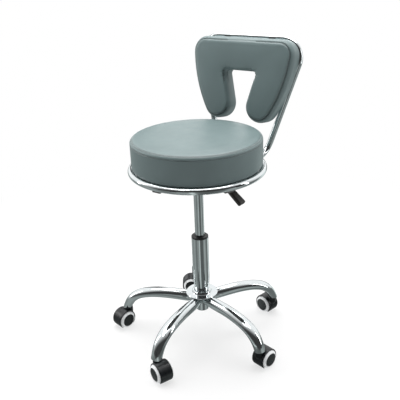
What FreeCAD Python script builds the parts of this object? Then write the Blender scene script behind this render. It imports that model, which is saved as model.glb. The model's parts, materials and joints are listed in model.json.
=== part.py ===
import FreeCAD, Part
import math
import os
import Sketcher

# A salon stool on five castors: a gas lift carries a round cushion in a chrome ring,
# and a bent tube behind the seat carries a padded back with a slot between its two legs.
# Frame: +Z up, the column's axis is Z, the floor is z = 0, and the sitter faces -Y.

V = FreeCAD.Vector
UP = V(0, 0, 1)

# Driving sizes in millimetres and degrees: (name, number, what it is).
SIZES = [
    ("clearance", 0.05, "radial gap of a running or slip fit"),
    ("edge", 1.0, "small broken edge"),
    ("overrun", 2.0, "how far a cut runs past the face it leaves"),
    # the five-armed base
    ("hub_radius", 20.0, "outside of the hub's socket tube"),
    ("hub_bottom", 85.0, "lower end of the socket tube"),
    ("hub_top", 141.0, "upper end of the socket tube"),
    ("hub_chamfer", 1.0, "chamfer at the foot of the socket tube"),
    ("arm_wall", 2.0, "wall of an arm"),
    ("end_plate", 2.6, "thickness of the plate in an arm's end"),
    ("end_plate_gap", 0.9, "gap between that plate and the arm's wall"),
    ("disc_radius", 48.0, "pressed cover over the arms' roots"),
    ("disc_bottom", 142.6, "underside of that cover"),
    ("disc_wall", 2.0, "its sheet thickness"),
    ("disc_lip", 0.8, "how far the cover's rim turns down"),
    ("disc_round", 1.4, "rounding of the rim"),
    ("disc_rise", 0.8, "rise of the cover's face towards the collar"),
    ("disc_cove", 1.2, "cove at the foot of the collar"),
    ("disc_step_radius", 30.0, "foot of the cover's raised collar"),
    ("disc_collar_radius", 27.0, "head of the raised collar"),
    ("disc_collar_top", 151.5, "height of the collar"),
    ("collar_round", 0.8, "rounding of the collar's head"),
    ("disc_mouth_radius", 23.0, "hole that the column passes"),
    # the column and the gas lift
    ("column_radius", 25.0, "outside of the column tube"),
    ("column_wall", 1.5, "wall of the column tube"),
    ("column_top", 328.5, "upper end of the column tube"),
    ("swage_start", 192.0, "height where the tube starts to narrow"),
    ("neck_radius", 21.8, "outside at the foot of the first cone"),
    ("neck_height", 154.0, "height of that place"),
    ("socket_mouth", 17.2, "outside of the taper at the hub's top"),
    ("socket_foot", 16.4, "outside of the taper at its lower end"),
    ("column_foot", 88.0, "lower end of the column tube"),
    ("column_floor", 91.0, "inside face of the tube's bottom"),
    ("bush_length", 60.0, "length of the guide bush inside the tube"),
    ("bush_collar", 5.2, "height of the bush's collar above the tube"),
    ("bush_round", 1.5, "rounding of that collar"),
    ("cylinder_radius", 14.0, "gas cylinder"),
    ("cylinder_bore", 12.0, "its bore"),
    ("cylinder_bottom", 268.0, "lower end of the cylinder, lift fully up"),
    ("cylinder_top", 514.5, "upper end of the cylinder"),
    ("cylinder_taper", 476.5, "height where its mounting taper starts"),
    ("cylinder_tip", 13.0, "radius at the taper's upper end"),
    ("chamber_bottom", 285.0, "lower end of the gas chamber"),
    ("chamber_top", 468.5, "upper end of the gas chamber"),
    ("rod_radius", 5.0, "piston rod"),
    ("rod_bottom", 81.0, "lower end of the piston rod"),
    ("piston_bottom", 296.0, "underside of the piston"),
    ("piston_top", 308.0, "top of the piston"),
    ("piston_land", 4.0, "height of a land, and of the seal's groove between two"),
    ("piston_groove", 2.0, "depth of the seal's groove"),
    ("rod_gap", 1.0, "gap round the rod in the column's floor and the washers"),
    ("rod_groove", 4.0, "radius in the retaining groove"),
    ("groove_bottom", 84.0, "lower edge of the retaining groove"),
    ("groove_top", 87.6, "upper edge of the retaining groove"),
    ("clip_radius", 8.5, "retaining clip"),
    ("clip_mouth", 3.5, "half the width of its opening"),
    ("clip_gap", 0.2, "gap above and below it in the groove"),
    ("bearing_radius", 13.0, "thrust bearing"),
    ("race", 2.4, "thickness of a bearing washer"),
    ("ball_radius", 2.4, "bearing ball"),
    ("ball_circle", 9.6, "radius of the ring of balls"),
    ("bearing_gap", 0.1, "gap between the bearing and what it carries"),
    ("bumper_radius", 12.0, "rubber end stop"),
    ("bumper_length", 20.0, "its height"),
    ("bumper_bevel", 3.0, "bevel of its upper edge"),
    ("button_radius", 4.0, "valve button"),
    ("button_bottom", 492.5, "lower end of the valve button"),
    ("button_top", 519.0, "upper end of the valve button"),
    # the seat
    ("ring_radius", 184.2, "centre line of the ring round the cushion"),
    ("ring_height", 545.4, "height of the ring's centre line"),
    ("tube_radius", 9.0, "outside of the ring's and back frame's tube"),
    ("tube_wall", 1.5, "wall of that tube"),
    ("board_bottom", 536.4, "underside of the seat board"),
    ("board_top", 548.4, "top of the seat board"),
    ("board_radius", 170.0, "seat board"),
    ("board_edge", 1.5, "chamfer round the seat board"),
    ("cushion_bottom", 548.8, "underside of the cushion"),
    ("cushion_foot", 172.0, "cushion where it sits inside the ring"),
    ("cushion_radius", 183.0, "cushion at its widest"),
    ("cushion_shoulder", 560.0, "height where its foot ends"),
    ("cushion_full", 575.0, "height where it reaches full width"),
    ("cushion_edge", 9.0, "rounding of the cushion's upper edge"),
    ("cushion_top", 637.4, "flat top of the cushion"),
    ("plate_half", 71.0, "half the side of the seat plate"),
    ("plate_corner", 12.0, "rounding of the plate's corners"),
    ("plate_bottom", 533.4, "underside of the seat plate"),
    ("box_half", 24.0, "half the width of the valve box, across the lever"),
    ("box_bottom", 501.5, "underside of the valve box"),
    ("box_length", 76.0, "length of the valve box, open at both ends"),
    ("box_wall", 3.0, "its sheet thickness"),
    ("cone_radius", 18.0, "outside of the cone socket"),
    ("cone_bottom", 484.5, "lower end of the cone socket"),
    ("cone_top", 515.5, "upper end of the cone socket"),
    ("cone_gap", 0.25, "gap round the cylinder's tip in the socket"),
    ("plate_bolt", 60.0, "half the spacing of the plate's bolts"),
    ("bolt_radius", 3.0, "bolts under the seat"),
    ("bolt_gap", 0.1, "radial gap of a bolt in its hole"),
    ("bolt_top", 545.9, "upper end of the bolts, inside the board"),
    ("bolt_tip_gap", 0.5, "space over the end of a bolt"),
    ("bolt_head_radius", 6.0, "bolt head"),
    ("bolt_head_height", 4.0, "height of a bolt head"),
    ("bolt_head_round", 1.5, "rounding of a bolt head"),
    ("bolt_socket", 2.0, "radius of the key socket in the head"),
    ("bolt_socket_depth", 1.4, "depth of that socket"),
    ("lug_reach", 187.0, "outer end of a ring lug"),
    ("lug_root", 122.0, "inner end of a ring lug"),
    ("lug_half_width", 12.5, "half the width of a ring lug"),
    ("lug_corner", 5.0, "rounding of a lug's inner corners"),
    ("lug_bolt", 140.0, "radius of the lug bolts"),
    # the back frame and the padded back; its own plane leans back with the tube
    ("root_back", 249.2, "how far the frame's plane is behind the column at ring height"),
    ("recline", 9.46, "lean of the back frame"),
    ("frame_root", 90.6, "half the width of the frame at ring height"),
    ("frame_head", 183.1, "half the width where the lines meet at the top"),
    ("frame_reach", 319.3, "from ring height up to the top bar, along the frame"),
    ("frame_corner", 55.8, "bend at the frame's upper corners"),
    ("frame_knee", 50.0, "bend where the legs turn under the seat"),
    ("leg_front", 55.0, "front end of the legs under the seat"),
    ("leg_bolt_front", 80.0, "front bolt of each leg"),
    ("leg_bolt_back", 130.0, "back bolt of each leg"),
    ("plug_cap", 3.0, "how far an end plug stands out of its tube"),
    ("plug_round", 2.0, "rounding of the plug's cap"),
    ("plug_depth", 12.0, "how far the plug reaches into the tube"),
    ("tab_length", 30.0, "tabs that carry the padded back"),
    ("tab_half_width", 11.0, "half the width of a tab"),
    ("tab_wall", 2.5, "thickness of a tab"),
    ("tab_top_x", 75.0, "upper tabs, distance from the middle"),
    ("tab_low_y", 150.0, "lower tabs, distance up the frame"),
    ("tab_screw", 22.0, "screw's distance from the tube's centre line"),
    ("pad_screw_radius", 2.5, "screws that hold the padded back"),
    ("pad_screw_head", 4.5, "their heads"),
    ("pad_screw_high", 3.0, "height of their heads"),
    ("pad_screw_round", 1.5, "rounding of their heads"),
    ("back_board_thick", 9.0, "board inside the padded back"),
    ("back_board_inset", 5.0, "how far the board stays inside the pad's outline"),
    ("pad_front", 56.0, "front of the pad in front of the frame's centre line"),
    ("pad_edge", 8.0, "rounding of the pad's front edge"),
    ("pad_top", 316.0, "top edge of the pad"),
    ("pad_corner_x", 123.0, "middle of a top corner's rounding"),
    ("pad_corner", 45.5, "rounding of the top corners"),
    ("pad_side", 403.0, "curve of the pad's sides"),
    ("pad_leg_x", 73.0, "middle of a leg's round end"),
    ("pad_leg_y", 120.0, "height of that middle"),
    ("pad_leg_radius", 46.0, "round end of a leg"),
    ("slot_corner_x", 40.0, "middle of a slot corner's rounding"),
    ("slot_top", 221.0, "top of the slot"),
    ("slot_corner", 9.0, "rounding of the slot's top corners"),
    # the lever
    ("lever_turn", -4.0, "direction of the lever from +X"),
    ("lever_rod", 4.0, "radius of the lever's rod"),
    ("lever_height", 523.5, "centre line of the rod's level part"),
    ("lever_inner", -3.0, "inner end of the rod"),
    ("lever_pivot", 30.0, "where the rod's cross pin turns in the box"),
    ("lever_pin", 2.5, "radius of the cross pin"),
    ("lever_bend", 82.4, "where the rod bends down"),
    ("lever_curve", 20.0, "radius of that bend"),
    ("lever_droop", 38.5, "slope of the outer part"),
    ("lever_grip_start", 14.4, "start of the grip after the bend"),
    ("lever_grip_end", 88.4, "end of the grip after the bend"),
    ("grip_half_thick", 6.0, "half the grip's thickness"),
    ("grip_root_half", 10.0, "half the grip's width at the rod"),
    ("grip_tip_half", 13.5, "half the grip's width at its end"),
    ("grip_edge", 4.0, "rounding of the grip"),
    ("grip_hole", 58.0, "depth of the rod's hole in the grip"),
    # the castors, each in a frame of its own: swivel axis is Z, +X towards the axle
    ("castor_circle", 244.0, "radius of the circle of castor stems"),
    ("trail", 21.5, "from the swivel axis to the axle"),
    ("wheel_radius", 27.5, "outside of a tyre"),
    ("tyre_inner", 20.0, "inside of a tyre"),
    ("wheel_face", 25.4, "outer face of a wheel from the castor's middle"),
    ("wheel_inner", 6.4, "inner face of a wheel from the castor's middle"),
    ("web_half", 6.0, "half the thickness of the castor's middle wall"),
    ("hood_radius", 30.2, "outside of the hood over the wheels"),
    ("hood_inner", 28.5, "inside of the hood"),
    ("hood_half", 20.4, "half the width of the hood"),
    ("hood_round", 3.0, "rounding of the hood's rims"),
    ("hood_bottom", 7.0, "lower edge of the hood"),
    ("neck_top", 59.6, "top of the castor's neck"),
    ("neck_side", 13.0, "radius of the neck"),
    ("neck_foot", 30.0, "lowest point of the neck's cone"),
    ("neck_taper", 6.0, "how much the cone widens"),
    ("neck_taper_height", 12.0, "height of the cone"),
    ("stem_radius", 5.5, "castor stem"),
    ("stem_bottom", 38.0, "lower end of the stem"),
    ("stem_top", 75.0, "upper end of the stem"),
    ("stem_point", 1.5, "bevel of the stem's upper end"),
    ("stem_groove", 1.0, "depth of the ring groove near its top"),
    ("stem_groove_low", 6.0, "lower edge of that groove, below the top"),
    ("stem_groove_high", 4.0, "upper edge of that groove, below the top"),
    ("stem_gap", 0.6, "space under the stem in the castor"),
    ("sleeve_radius", 7.0, "steel sleeve for the stem in an arm's end"),
    ("sleeve_top", 77.0, "upper end of the sleeve"),
    ("arm_end", 60.0, "height of the arms' open ends"),
    ("axle_radius", 4.0, "wheel axle"),
    ("axle_half", 20.4, "half the length of the axle"),
    ("axle_gap", 0.3, "space over the axle's end in a wheel"),
    ("boss_wall", 3.5, "wall of the wheel's boss"),
    ("wheel_web", 6.0, "thickness of the wheel's outer web"),
    ("rim_wall", 3.0, "wall of the rim under the tyre"),
    ("cap_radius", 18.8, "round cap in the middle of a wheel"),
    ("cap_step", 1.2, "depth of the step round the cap"),
    ("cap_inset", 0.2, "how far the cap's edge is behind the wheel's face"),
    ("cap_flat", 6.0, "flat middle of the cap"),
    ("cap_crown", 0.4, "how far that middle stands out"),
    ("tyre_inset", 0.6, "how far the tyre starts outside the wheel's inner face"),
    ("tyre_bevel", 2.5, "bevel of the tyre's inner edge"),
    ("tread_end", 15.8, "outer end of the tread, under the hood"),
    ("tyre_face", 20.2, "tyre where it meets the wheel's face"),
    ("tyre_dome", 13.0, "rounding of the tyre from the tread to there"),
]
NUMBERS = {name: number for name, number, meaning in SIZES}

# An arm's centre line and section: (distance out, height, slope down in degrees,
# half the width, half the height).  It rises a little, arches over and drops to the castor.
ARM_SECTIONS = [
    (12.0, 121.5, -3.0, 10.0, 17.5),
    (34.0, 122.6, -3.0, 14.0, 17.8),
    (70.0, 124.4, -2.0, 16.5, 17.6),
    (115.0, 125.2, 1.0, 17.5, 16.8),
    (155.0, 122.6, 8.0, 18.5, 15.5),
    (190.0, 115.4, 18.0, 19.0, 14.6),
    (217.0, 102.4, 36.0, 18.5, 14.2),
    (235.0, 83.5, 57.0, 17.5, 13.8),
    (246.5, 60.0, 90.0, 17.0, 13.6),
]
ARM_ANGLES = [200.5, 272.5, 344.5, 56.5, 128.5]
CASTOR_TURNS = [257.8, 338.2, 77.2, 166.3, 215.0]
LUG_ANGLES = [210.0, 270.0, 330.0]

NEAR = 0.01        # millimetres: two places this near are the same
LEAST_CUT = 1.0    # cubic millimetres that any cut must take away

doc = FreeCAD.newDocument("SalonStool")
NODES = []


# ---------------------------------------------------------------- sizes

def fill_sheet():
    """Put every driving size into the document's spreadsheet under its name."""
    sheet = doc.addObject("Spreadsheet::Sheet", "Sizes")
    for row, (name, number, meaning) in enumerate(SIZES, start=1):
        sheet.set("A%d" % row, name)
        sheet.set("B%d" % row, str(number))
        sheet.set("C%d" % row, meaning)
        sheet.setAlias("B%d" % row, name)
    doc.recompute()


def value(total):
    """Add up a written sum of size names and numbers, such as 'tube_radius - tube_wall'."""
    result = 0.0
    sign = 1.0
    for word in total.split():
        if word in ("+", "-"):
            sign = 1.0 if word == "+" else -1.0
            continue
        result += sign * (NUMBERS[word] if word in NUMBERS else float(word))
        sign = 1.0
    return result


def formula(total):
    """The same sum as an expression that reads the spreadsheet."""
    return " ".join("Sizes." + word if word in NUMBERS else word for word in total.split())


def bind(item, **totals):
    """Bind properties of an object to sums of sheet sizes."""
    for name, total in totals.items():
        item.setExpression(name, formula(total))


# ---------------------------------------------------------------- sketches

def sketch_on(body, role, name, offset=None):
    """A new sketch on one of the body's own origin planes, moved along the plane's normal."""
    sketch = body.newObject("Sketcher::SketchObject", name)
    plane = [item for item in body.Origin.OriginFeatures if item.Role == role][0]
    sketch.AttachmentSupport = [(plane, "")]
    sketch.MapMode = "FlatFace"
    if offset:
        sketch.setExpression("AttachmentOffset.Base.z", formula(offset))
    return sketch


def pin(sketch, item, end, x, y):
    """Fix one point of a sketch at the sums x and y."""
    for kind, axis, total in (("DistanceX", -2, x), ("DistanceY", -1, y)):
        if value(total) == 0:
            sketch.addConstraint(Sketcher.Constraint("PointOnObject", item, end, axis))
            continue
        index = sketch.addConstraint(Sketcher.Constraint(kind, -1, 1, item, end, value(total)))
        sketch.setExpression("Constraints[%d]" % index, formula(total))


def add_circle(sketch, radius, x="0", y="0"):
    """A circle with its centre at (x, y)."""
    circle = Part.Circle(V(value(x), value(y), 0), UP, value(radius))
    item = sketch.addGeometry(circle, False)
    pin(sketch, item, 3, x, y)
    index = sketch.addConstraint(Sketcher.Constraint("Radius", item, value(radius)))
    sketch.setExpression("Constraints[%d]" % index, formula(radius))


def arc_between(first, last, radius, turn):
    """The short arc between two points; its centre is on the left if turn is 1, else right."""
    chord = last - first
    height = math.sqrt(max(radius ** 2 - chord.Length ** 2 / 4, 0.0))
    side = V(-chord.y, chord.x, 0).normalize()
    centre = (first + last) * 0.5 + side * (height * turn)
    angles = [math.atan2(point.y - centre.y, point.x - centre.x) for point in (first, last)]
    if turn < 0:
        angles.reverse()
    return Part.ArcOfCircle(Part.Circle(centre, UP, radius), angles[0], angles[1])


def add_outline(sketch, corners):
    """A closed outline. A corner is (x, y), or (x, y, radius, turn) with an arc to the next."""
    points = [V(value(corner[0]), value(corner[1]), 0) for corner in corners]
    ends = []
    for index, corner in enumerate(corners):
        first = points[index]
        last = points[(index + 1) % len(points)]
        if len(corner) == 2:
            item = sketch.addGeometry(Part.LineSegment(first, last), False)
            ends.append((item, 1, 2))
            continue
        item = sketch.addGeometry(arc_between(first, last, value(corner[2]), corner[3]), False)
        ends.append((item, 1, 2) if corner[3] > 0 else (item, 2, 1))
    for index, (item, start, finish) in enumerate(ends):
        after = ends[(index + 1) % len(ends)]
        sketch.addConstraint(Sketcher.Constraint("Coincident", item, finish, after[0], after[1]))
    for (item, start, finish), corner in zip(ends, corners):
        pin(sketch, item, start, corner[0], corner[1])
        if len(corner) == 4:
            index = sketch.addConstraint(Sketcher.Constraint("Radius", item, value(corner[2])))
            sketch.setExpression("Constraints[%d]" % index, formula(corner[2]))


def rectangle(left, low, right, high):
    """The corners of an upright rectangle."""
    return [(left, low), (right, low), (right, high), (left, high)]


# ---------------------------------------------------------------- features

def new_body(label):
    """An empty body with its own label."""
    body = doc.addObject("PartDesign::Body", label)
    body.Label = label
    return body


def keep(item, label):
    """Count an object as a sub-part that gets a file of its own."""
    item.Label = label
    NODES.append(item)
    return item


def revolve(body, corners, role="XZ_Plane", cut=False):
    """Turn a closed outline once round its plane's upright axis, as a solid or as a cut."""
    kind = "Groove" if cut else "Revolution"
    sketch = sketch_on(body, role, body.Name + "_profile")
    add_outline(sketch, corners)
    feature = body.newObject("PartDesign::" + kind, body.Name + "_" + kind.lower())
    feature.Profile = sketch
    feature.ReferenceAxis = (sketch, ["V_Axis"])
    feature.Angle = 360
    return feature


def extrude(body, draw, length=None, role="XY_Plane", offset=None, both=False, back=False,
            cut=False):
    """Pad or pocket what draw puts in a new sketch; no length means through everything."""
    kind = "Pocket" if cut else "Pad"
    sketch = sketch_on(body, role, body.Name + "_sketch", offset)
    draw(sketch)
    feature = body.newObject("PartDesign::" + kind, body.Name + "_" + kind.lower())
    feature.Profile = sketch
    if length:
        bind(feature, Length=length)
    else:
        feature.Type = "ThroughAll"
    if both:
        feature.SideType = "Symmetric"
    feature.Reversed = back
    return feature


def dress(body, kind, size, chosen):
    """Fillet or chamfer the edges of the body's last feature that the test chooses."""
    doc.recompute()
    base = body.Tip
    names = ["Edge%d" % number for number, edge in enumerate(base.Shape.Edges, start=1)
             if chosen(edge)]
    feature = body.newObject("PartDesign::" + kind, body.Name + "_" + kind.lower())
    feature.Base = (base, names)
    bind(feature, **{"Radius" if kind == "Fillet" else "Size": size})
    return feature


def upright(edge):
    """Whether an edge goes straight up."""
    return edge.Vertexes[-1].Point.sub(edge.Vertexes[0].Point).cross(UP).Length < NEAR < edge.Length


def place(item, base=V(0, 0, 0), rotation=FreeCAD.Rotation()):
    """Set an object's placement."""
    item.Placement = FreeCAD.Placement(base, rotation)


def boolean(kind, name, base, tool):
    """A Part boolean of two objects."""
    result = doc.addObject("Part::" + kind, name)
    result.Base = base
    result.Tool = tool
    return result


def cylinder(name, radius, bottom, tall, x=0.0, y=0.0):
    """An upright cylinder that starts at a height and is so tall."""
    item = doc.addObject("Part::Cylinder", name)
    bind(item, Radius=radius, Height=tall)
    place(item, V(x, y, value(bottom)))
    return item


def compound(name, items):
    """Several solids as one object."""
    group = doc.addObject("Part::Compound", name)
    group.Links = items
    return group


def polar(radius, degrees, height=0.0):
    """A point on a circle round the column."""
    angle = math.radians(degrees)
    return V(radius * math.cos(angle), radius * math.sin(angle), height)


def turned(degrees):
    """A rotation about the upright axis."""
    return FreeCAD.Rotation(UP, degrees)


# ---------------------------------------------------------------- base

def build_hub():
    """The socket tube with its tapered bore, and the pressed cover over the arms' roots."""
    hub = keep(new_body("base_hub"), "base_hub")
    revolve(hub, [
        ("socket_foot + clearance", "hub_bottom"), ("hub_radius", "hub_bottom"),
        ("hub_radius", "hub_top"), ("socket_mouth + clearance", "hub_top")])
    cover = keep(new_body("hub_disc"), "hub_disc")
    revolve(cover, [
        ("disc_radius - disc_wall", "disc_bottom - disc_lip"),
        ("disc_radius", "disc_bottom - disc_lip"),
        ("disc_radius", "disc_bottom + disc_wall - disc_round"),
        ("disc_radius - disc_round", "disc_bottom + disc_wall"),
        ("disc_step_radius + disc_cove", "disc_bottom + disc_wall + disc_rise"),
        ("disc_step_radius", "disc_bottom + disc_wall + disc_rise + disc_cove"),
        ("disc_collar_radius + collar_round", "disc_collar_top - collar_round"),
        ("disc_collar_radius - collar_round", "disc_collar_top"),
        ("disc_mouth_radius", "disc_collar_top"),
        ("disc_mouth_radius", "disc_collar_top - disc_wall"),
        ("disc_collar_radius - disc_wall", "disc_collar_top - disc_wall"),
        ("disc_step_radius - disc_wall", "disc_bottom"),
        ("disc_radius - disc_wall", "disc_bottom")])
    dress(hub, "Chamfer", "hub_chamfer", lambda edge: edge.Curve.TypeId == "Part::GeomCircle"
          and edge.Curve.Radius > value("hub_radius") - NEAR
          and edge.Curve.Center.z < value("hub_bottom") + NEAR)


def oval(name, section, thinner):
    """One closed section of an arm, square to the arm's centre line."""
    out, height, slope, half_width, half_height = section
    angle = math.radians(slope)
    across = V(0, 1, 0)
    upward = V(math.sin(angle), 0, math.cos(angle))
    centre = V(out, 0, height)
    count = 12
    points = []
    for step in range(count):
        turn = 2 * math.pi * step / count
        points.append(centre + across * ((half_width - thinner) * math.cos(turn))
                      + upward * ((half_height - thinner) * math.sin(turn)))
    curve = Part.BSplineCurve()
    curve.interpolate(points, PeriodicFlag=True)
    feature = doc.addObject("Part::Feature", name)
    feature.Shape = Part.Wire([curve.toShape()])
    return feature


def build_arms():
    """One hollow bent arm, and its five copies round the hub."""
    lofts = []
    for name, thinner in (("arm_outside", 0.0), ("arm_inside", value("arm_wall"))):
        loft = doc.addObject("Part::Loft", name)
        loft.Sections = [oval("%s_%d" % (name, number), section, thinner)
                         for number, section in enumerate(ARM_SECTIONS)]
        loft.Solid = True
        lofts.append(loft)
    hollow = boolean("Cut", "arm_hollow", lofts[0], lofts[1])
    core = cylinder("arm_root_cut", "hub_radius", "hub_bottom - overrun",
                    "hub_top - hub_bottom + overrun + overrun")
    arm = boolean("Cut", "arm", hollow, core)
    for number, angle in enumerate(ARM_ANGLES, start=1):
        name = "base_arm_%d" % number
        place(keep(compound(name, [arm]), name), rotation=turned(angle))


def build_sockets():
    """Steel sleeves in the arms' ends, each on an oval end plate, and the castor stems."""
    out, height, slope, half_width, half_height = ARM_SECTIONS[-1]
    plate = doc.addObject("Part::Ellipse", "end_plate_outline")
    plate.MajorRadius = half_width - value("arm_wall + end_plate_gap")
    plate.MinorRadius = half_height - value("arm_wall + end_plate_gap")
    place(plate, V(out, 0, height), turned(90))
    disc = doc.addObject("Part::Extrusion", "end_plate")
    disc.Base = plate
    disc.Dir = V(0, 0, value("end_plate"))
    disc.Solid = True
    sleeve = cylinder("sleeve", "sleeve_radius", "arm_end", "sleeve_top - arm_end",
                      value("castor_circle"))
    socket = boolean("Fuse", "socket_outside", disc, sleeve)
    hole = cylinder("sleeve_hole", "stem_radius + clearance", "arm_end - overrun",
                    "sleeve_top - arm_end + overrun + overrun", value("castor_circle"))
    socket = boolean("Cut", "socket", socket, hole)
    stem = new_body("stem")
    revolve(stem, [
        ("0", "stem_bottom"), ("stem_radius - edge", "stem_bottom"),
        ("stem_radius", "stem_bottom + edge"), ("stem_radius", "stem_top - stem_groove_low"),
        ("stem_radius - stem_groove", "stem_top - stem_groove_low"),
        ("stem_radius - stem_groove", "stem_top - stem_groove_high"),
        ("stem_radius", "stem_top - stem_groove_high"), ("stem_radius", "stem_top - stem_point"),
        ("stem_radius - stem_point", "stem_top"), ("0", "stem_top")])
    place(stem, V(value("castor_circle"), 0, 0))
    for name, single in (("stem_sockets", socket), ("caster_stems", stem)):
        copies = []
        for number, angle in enumerate(ARM_ANGLES, start=1):
            copy = compound("%s_%d" % (name, number), [single])
            place(copy, rotation=turned(angle))
            copies.append(copy)
        keep(compound(name, copies), name)


# ---------------------------------------------------------------- gas lift

def build_column():
    """The column tube, swaged down into the hub, with its guide bush."""
    tube = keep(new_body("column_tube"), "column_tube")
    revolve(tube, [
        ("rod_radius + rod_gap", "column_foot"), ("socket_foot", "column_foot"),
        ("socket_mouth", "hub_top"), ("neck_radius", "neck_height"),
        ("column_radius", "swage_start"), ("column_radius", "column_top"),
        ("column_radius - column_wall", "column_top"),
        ("column_radius - column_wall", "swage_start"),
        ("neck_radius - column_wall", "neck_height"),
        ("socket_mouth - column_wall", "hub_top"),
        ("socket_foot - column_wall", "column_floor"), ("rod_radius + rod_gap", "column_floor")])
    bush = keep(new_body("column_bush"), "column_bush")
    revolve(bush, [
        ("cylinder_radius + clearance", "column_top - bush_length"),
        ("column_radius - column_wall - clearance", "column_top - bush_length"),
        ("column_radius - column_wall - clearance", "column_top"),
        ("column_radius", "column_top"), ("column_radius", "column_top + bush_collar - bush_round"),
        ("column_radius - bush_round", "column_top + bush_collar"),
        ("cylinder_radius + bush_round", "column_top + bush_collar"),
        ("cylinder_radius + clearance", "column_top + bush_collar - bush_round")])


def build_rod():
    """The piston rod with its piston, the clip, thrust bearing and end stop at its foot."""
    rod = keep(new_body("piston_rod"), "piston_rod")
    revolve(rod, [
        ("0", "rod_bottom"), ("rod_radius - edge", "rod_bottom"),
        ("rod_radius", "rod_bottom + edge"), ("rod_radius", "groove_bottom"),
        ("rod_groove", "groove_bottom"), ("rod_groove", "groove_top"),
        ("rod_radius", "groove_top"), ("rod_radius", "piston_bottom"),
        ("cylinder_bore - clearance", "piston_bottom"),
        ("cylinder_bore - clearance", "piston_bottom + piston_land"),
        ("cylinder_bore - piston_groove", "piston_bottom + piston_land"),
        ("cylinder_bore - piston_groove", "piston_top - piston_land"),
        ("cylinder_bore - clearance", "piston_top - piston_land"),
        ("cylinder_bore - clearance", "piston_top"), ("0", "piston_top")])
    clip = keep(new_body("retaining_clip"), "retaining_clip")
    extrude(clip, lambda sketch: (add_circle(sketch, "clip_radius"),
                                  add_circle(sketch, "rod_groove + clearance")),
            "groove_top - groove_bottom - clip_gap - clip_gap", offset="groove_bottom + clip_gap")
    extrude(clip, lambda sketch: add_outline(sketch, rectangle(
        "0", "- clip_mouth", "clip_radius + edge", "clip_mouth")),
        offset="groove_bottom", back=True, cut=True)
    bumper = keep(new_body("bumper"), "bumper")
    foot = ("column_floor + bearing_gap + race + ball_radius + ball_radius + bearing_gap + race"
            " + bearing_gap")
    revolve(bumper, [
        ("rod_radius + clearance", foot), ("bumper_radius", foot),
        ("bumper_radius", foot + " + bumper_length - bumper_bevel"),
        ("bumper_radius - bumper_bevel", foot + " + bumper_length"),
        ("rod_radius + clearance", foot + " + bumper_length")])


def build_bearing():
    """The thrust bearing that lets the seat turn: two washers and a ring of balls."""
    washers = new_body("bearing_washer")
    revolve(washers, [
        ("rod_radius + rod_gap", "column_floor + bearing_gap"),
        ("bearing_radius", "column_floor + bearing_gap"),
        ("bearing_radius", "column_floor + bearing_gap + race"),
        ("rod_radius + rod_gap", "column_floor + bearing_gap + race")])
    upper = compound("upper_washer", [washers])
    step = value("race + ball_radius + ball_radius + bearing_gap")
    place(upper, V(0, 0, step))
    pieces = [washers, upper]
    count = 10
    middle = value("column_floor + bearing_gap + race + clearance + ball_radius")
    for number in range(count):
        ball = doc.addObject("Part::Sphere", "ball_%d" % number)
        bind(ball, Radius="ball_radius")
        place(ball, polar(value("ball_circle"), 360.0 * number / count, middle))
        pieces.append(ball)
    keep(compound("thrust_bearing", pieces), "thrust_bearing")


def build_cylinder():
    """The gas cylinder with its mounting taper, and the valve button in its top."""
    body = keep(new_body("gas_cylinder"), "gas_cylinder")
    revolve(body, [
        ("rod_radius + clearance", "cylinder_bottom"),
        ("cylinder_radius - edge", "cylinder_bottom"), ("cylinder_radius", "cylinder_bottom + edge"),
        ("cylinder_radius", "cylinder_taper"), ("cylinder_tip", "cylinder_top"),
        ("button_radius + clearance", "cylinder_top"),
        ("button_radius + clearance", "chamber_top"), ("cylinder_bore", "chamber_top"),
        ("cylinder_bore", "chamber_bottom"), ("rod_radius + clearance", "chamber_bottom")])
    button = keep(new_body("valve_button"), "valve_button")
    revolve(button, [
        ("0", "button_bottom"), ("button_radius", "button_bottom"),
        ("button_radius", "button_top - edge"), ("button_radius - edge", "button_top"),
        ("0", "button_top")])


# ---------------------------------------------------------------- seat

def bolt_places():
    """Every bolt under the seat: (x, y, height of the underside that its head bears on)."""
    places = []
    for quarter in range(4):
        spot = polar(value("plate_bolt") * math.sqrt(2), value("lever_turn") + 45 + 90 * quarter)
        places.append((spot.x, spot.y, "plate_bottom"))
    for angle in LUG_ANGLES:
        spot = polar(value("lug_bolt"), angle)
        places.append((spot.x, spot.y, "board_bottom - box_wall"))
    for side in (-1, 1):
        for y in ("leg_bolt_front", "leg_bolt_back"):
            places.append((side * leg_half_width(), value(y),
                           "board_bottom - tube_radius - tube_radius"))
    return places


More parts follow.
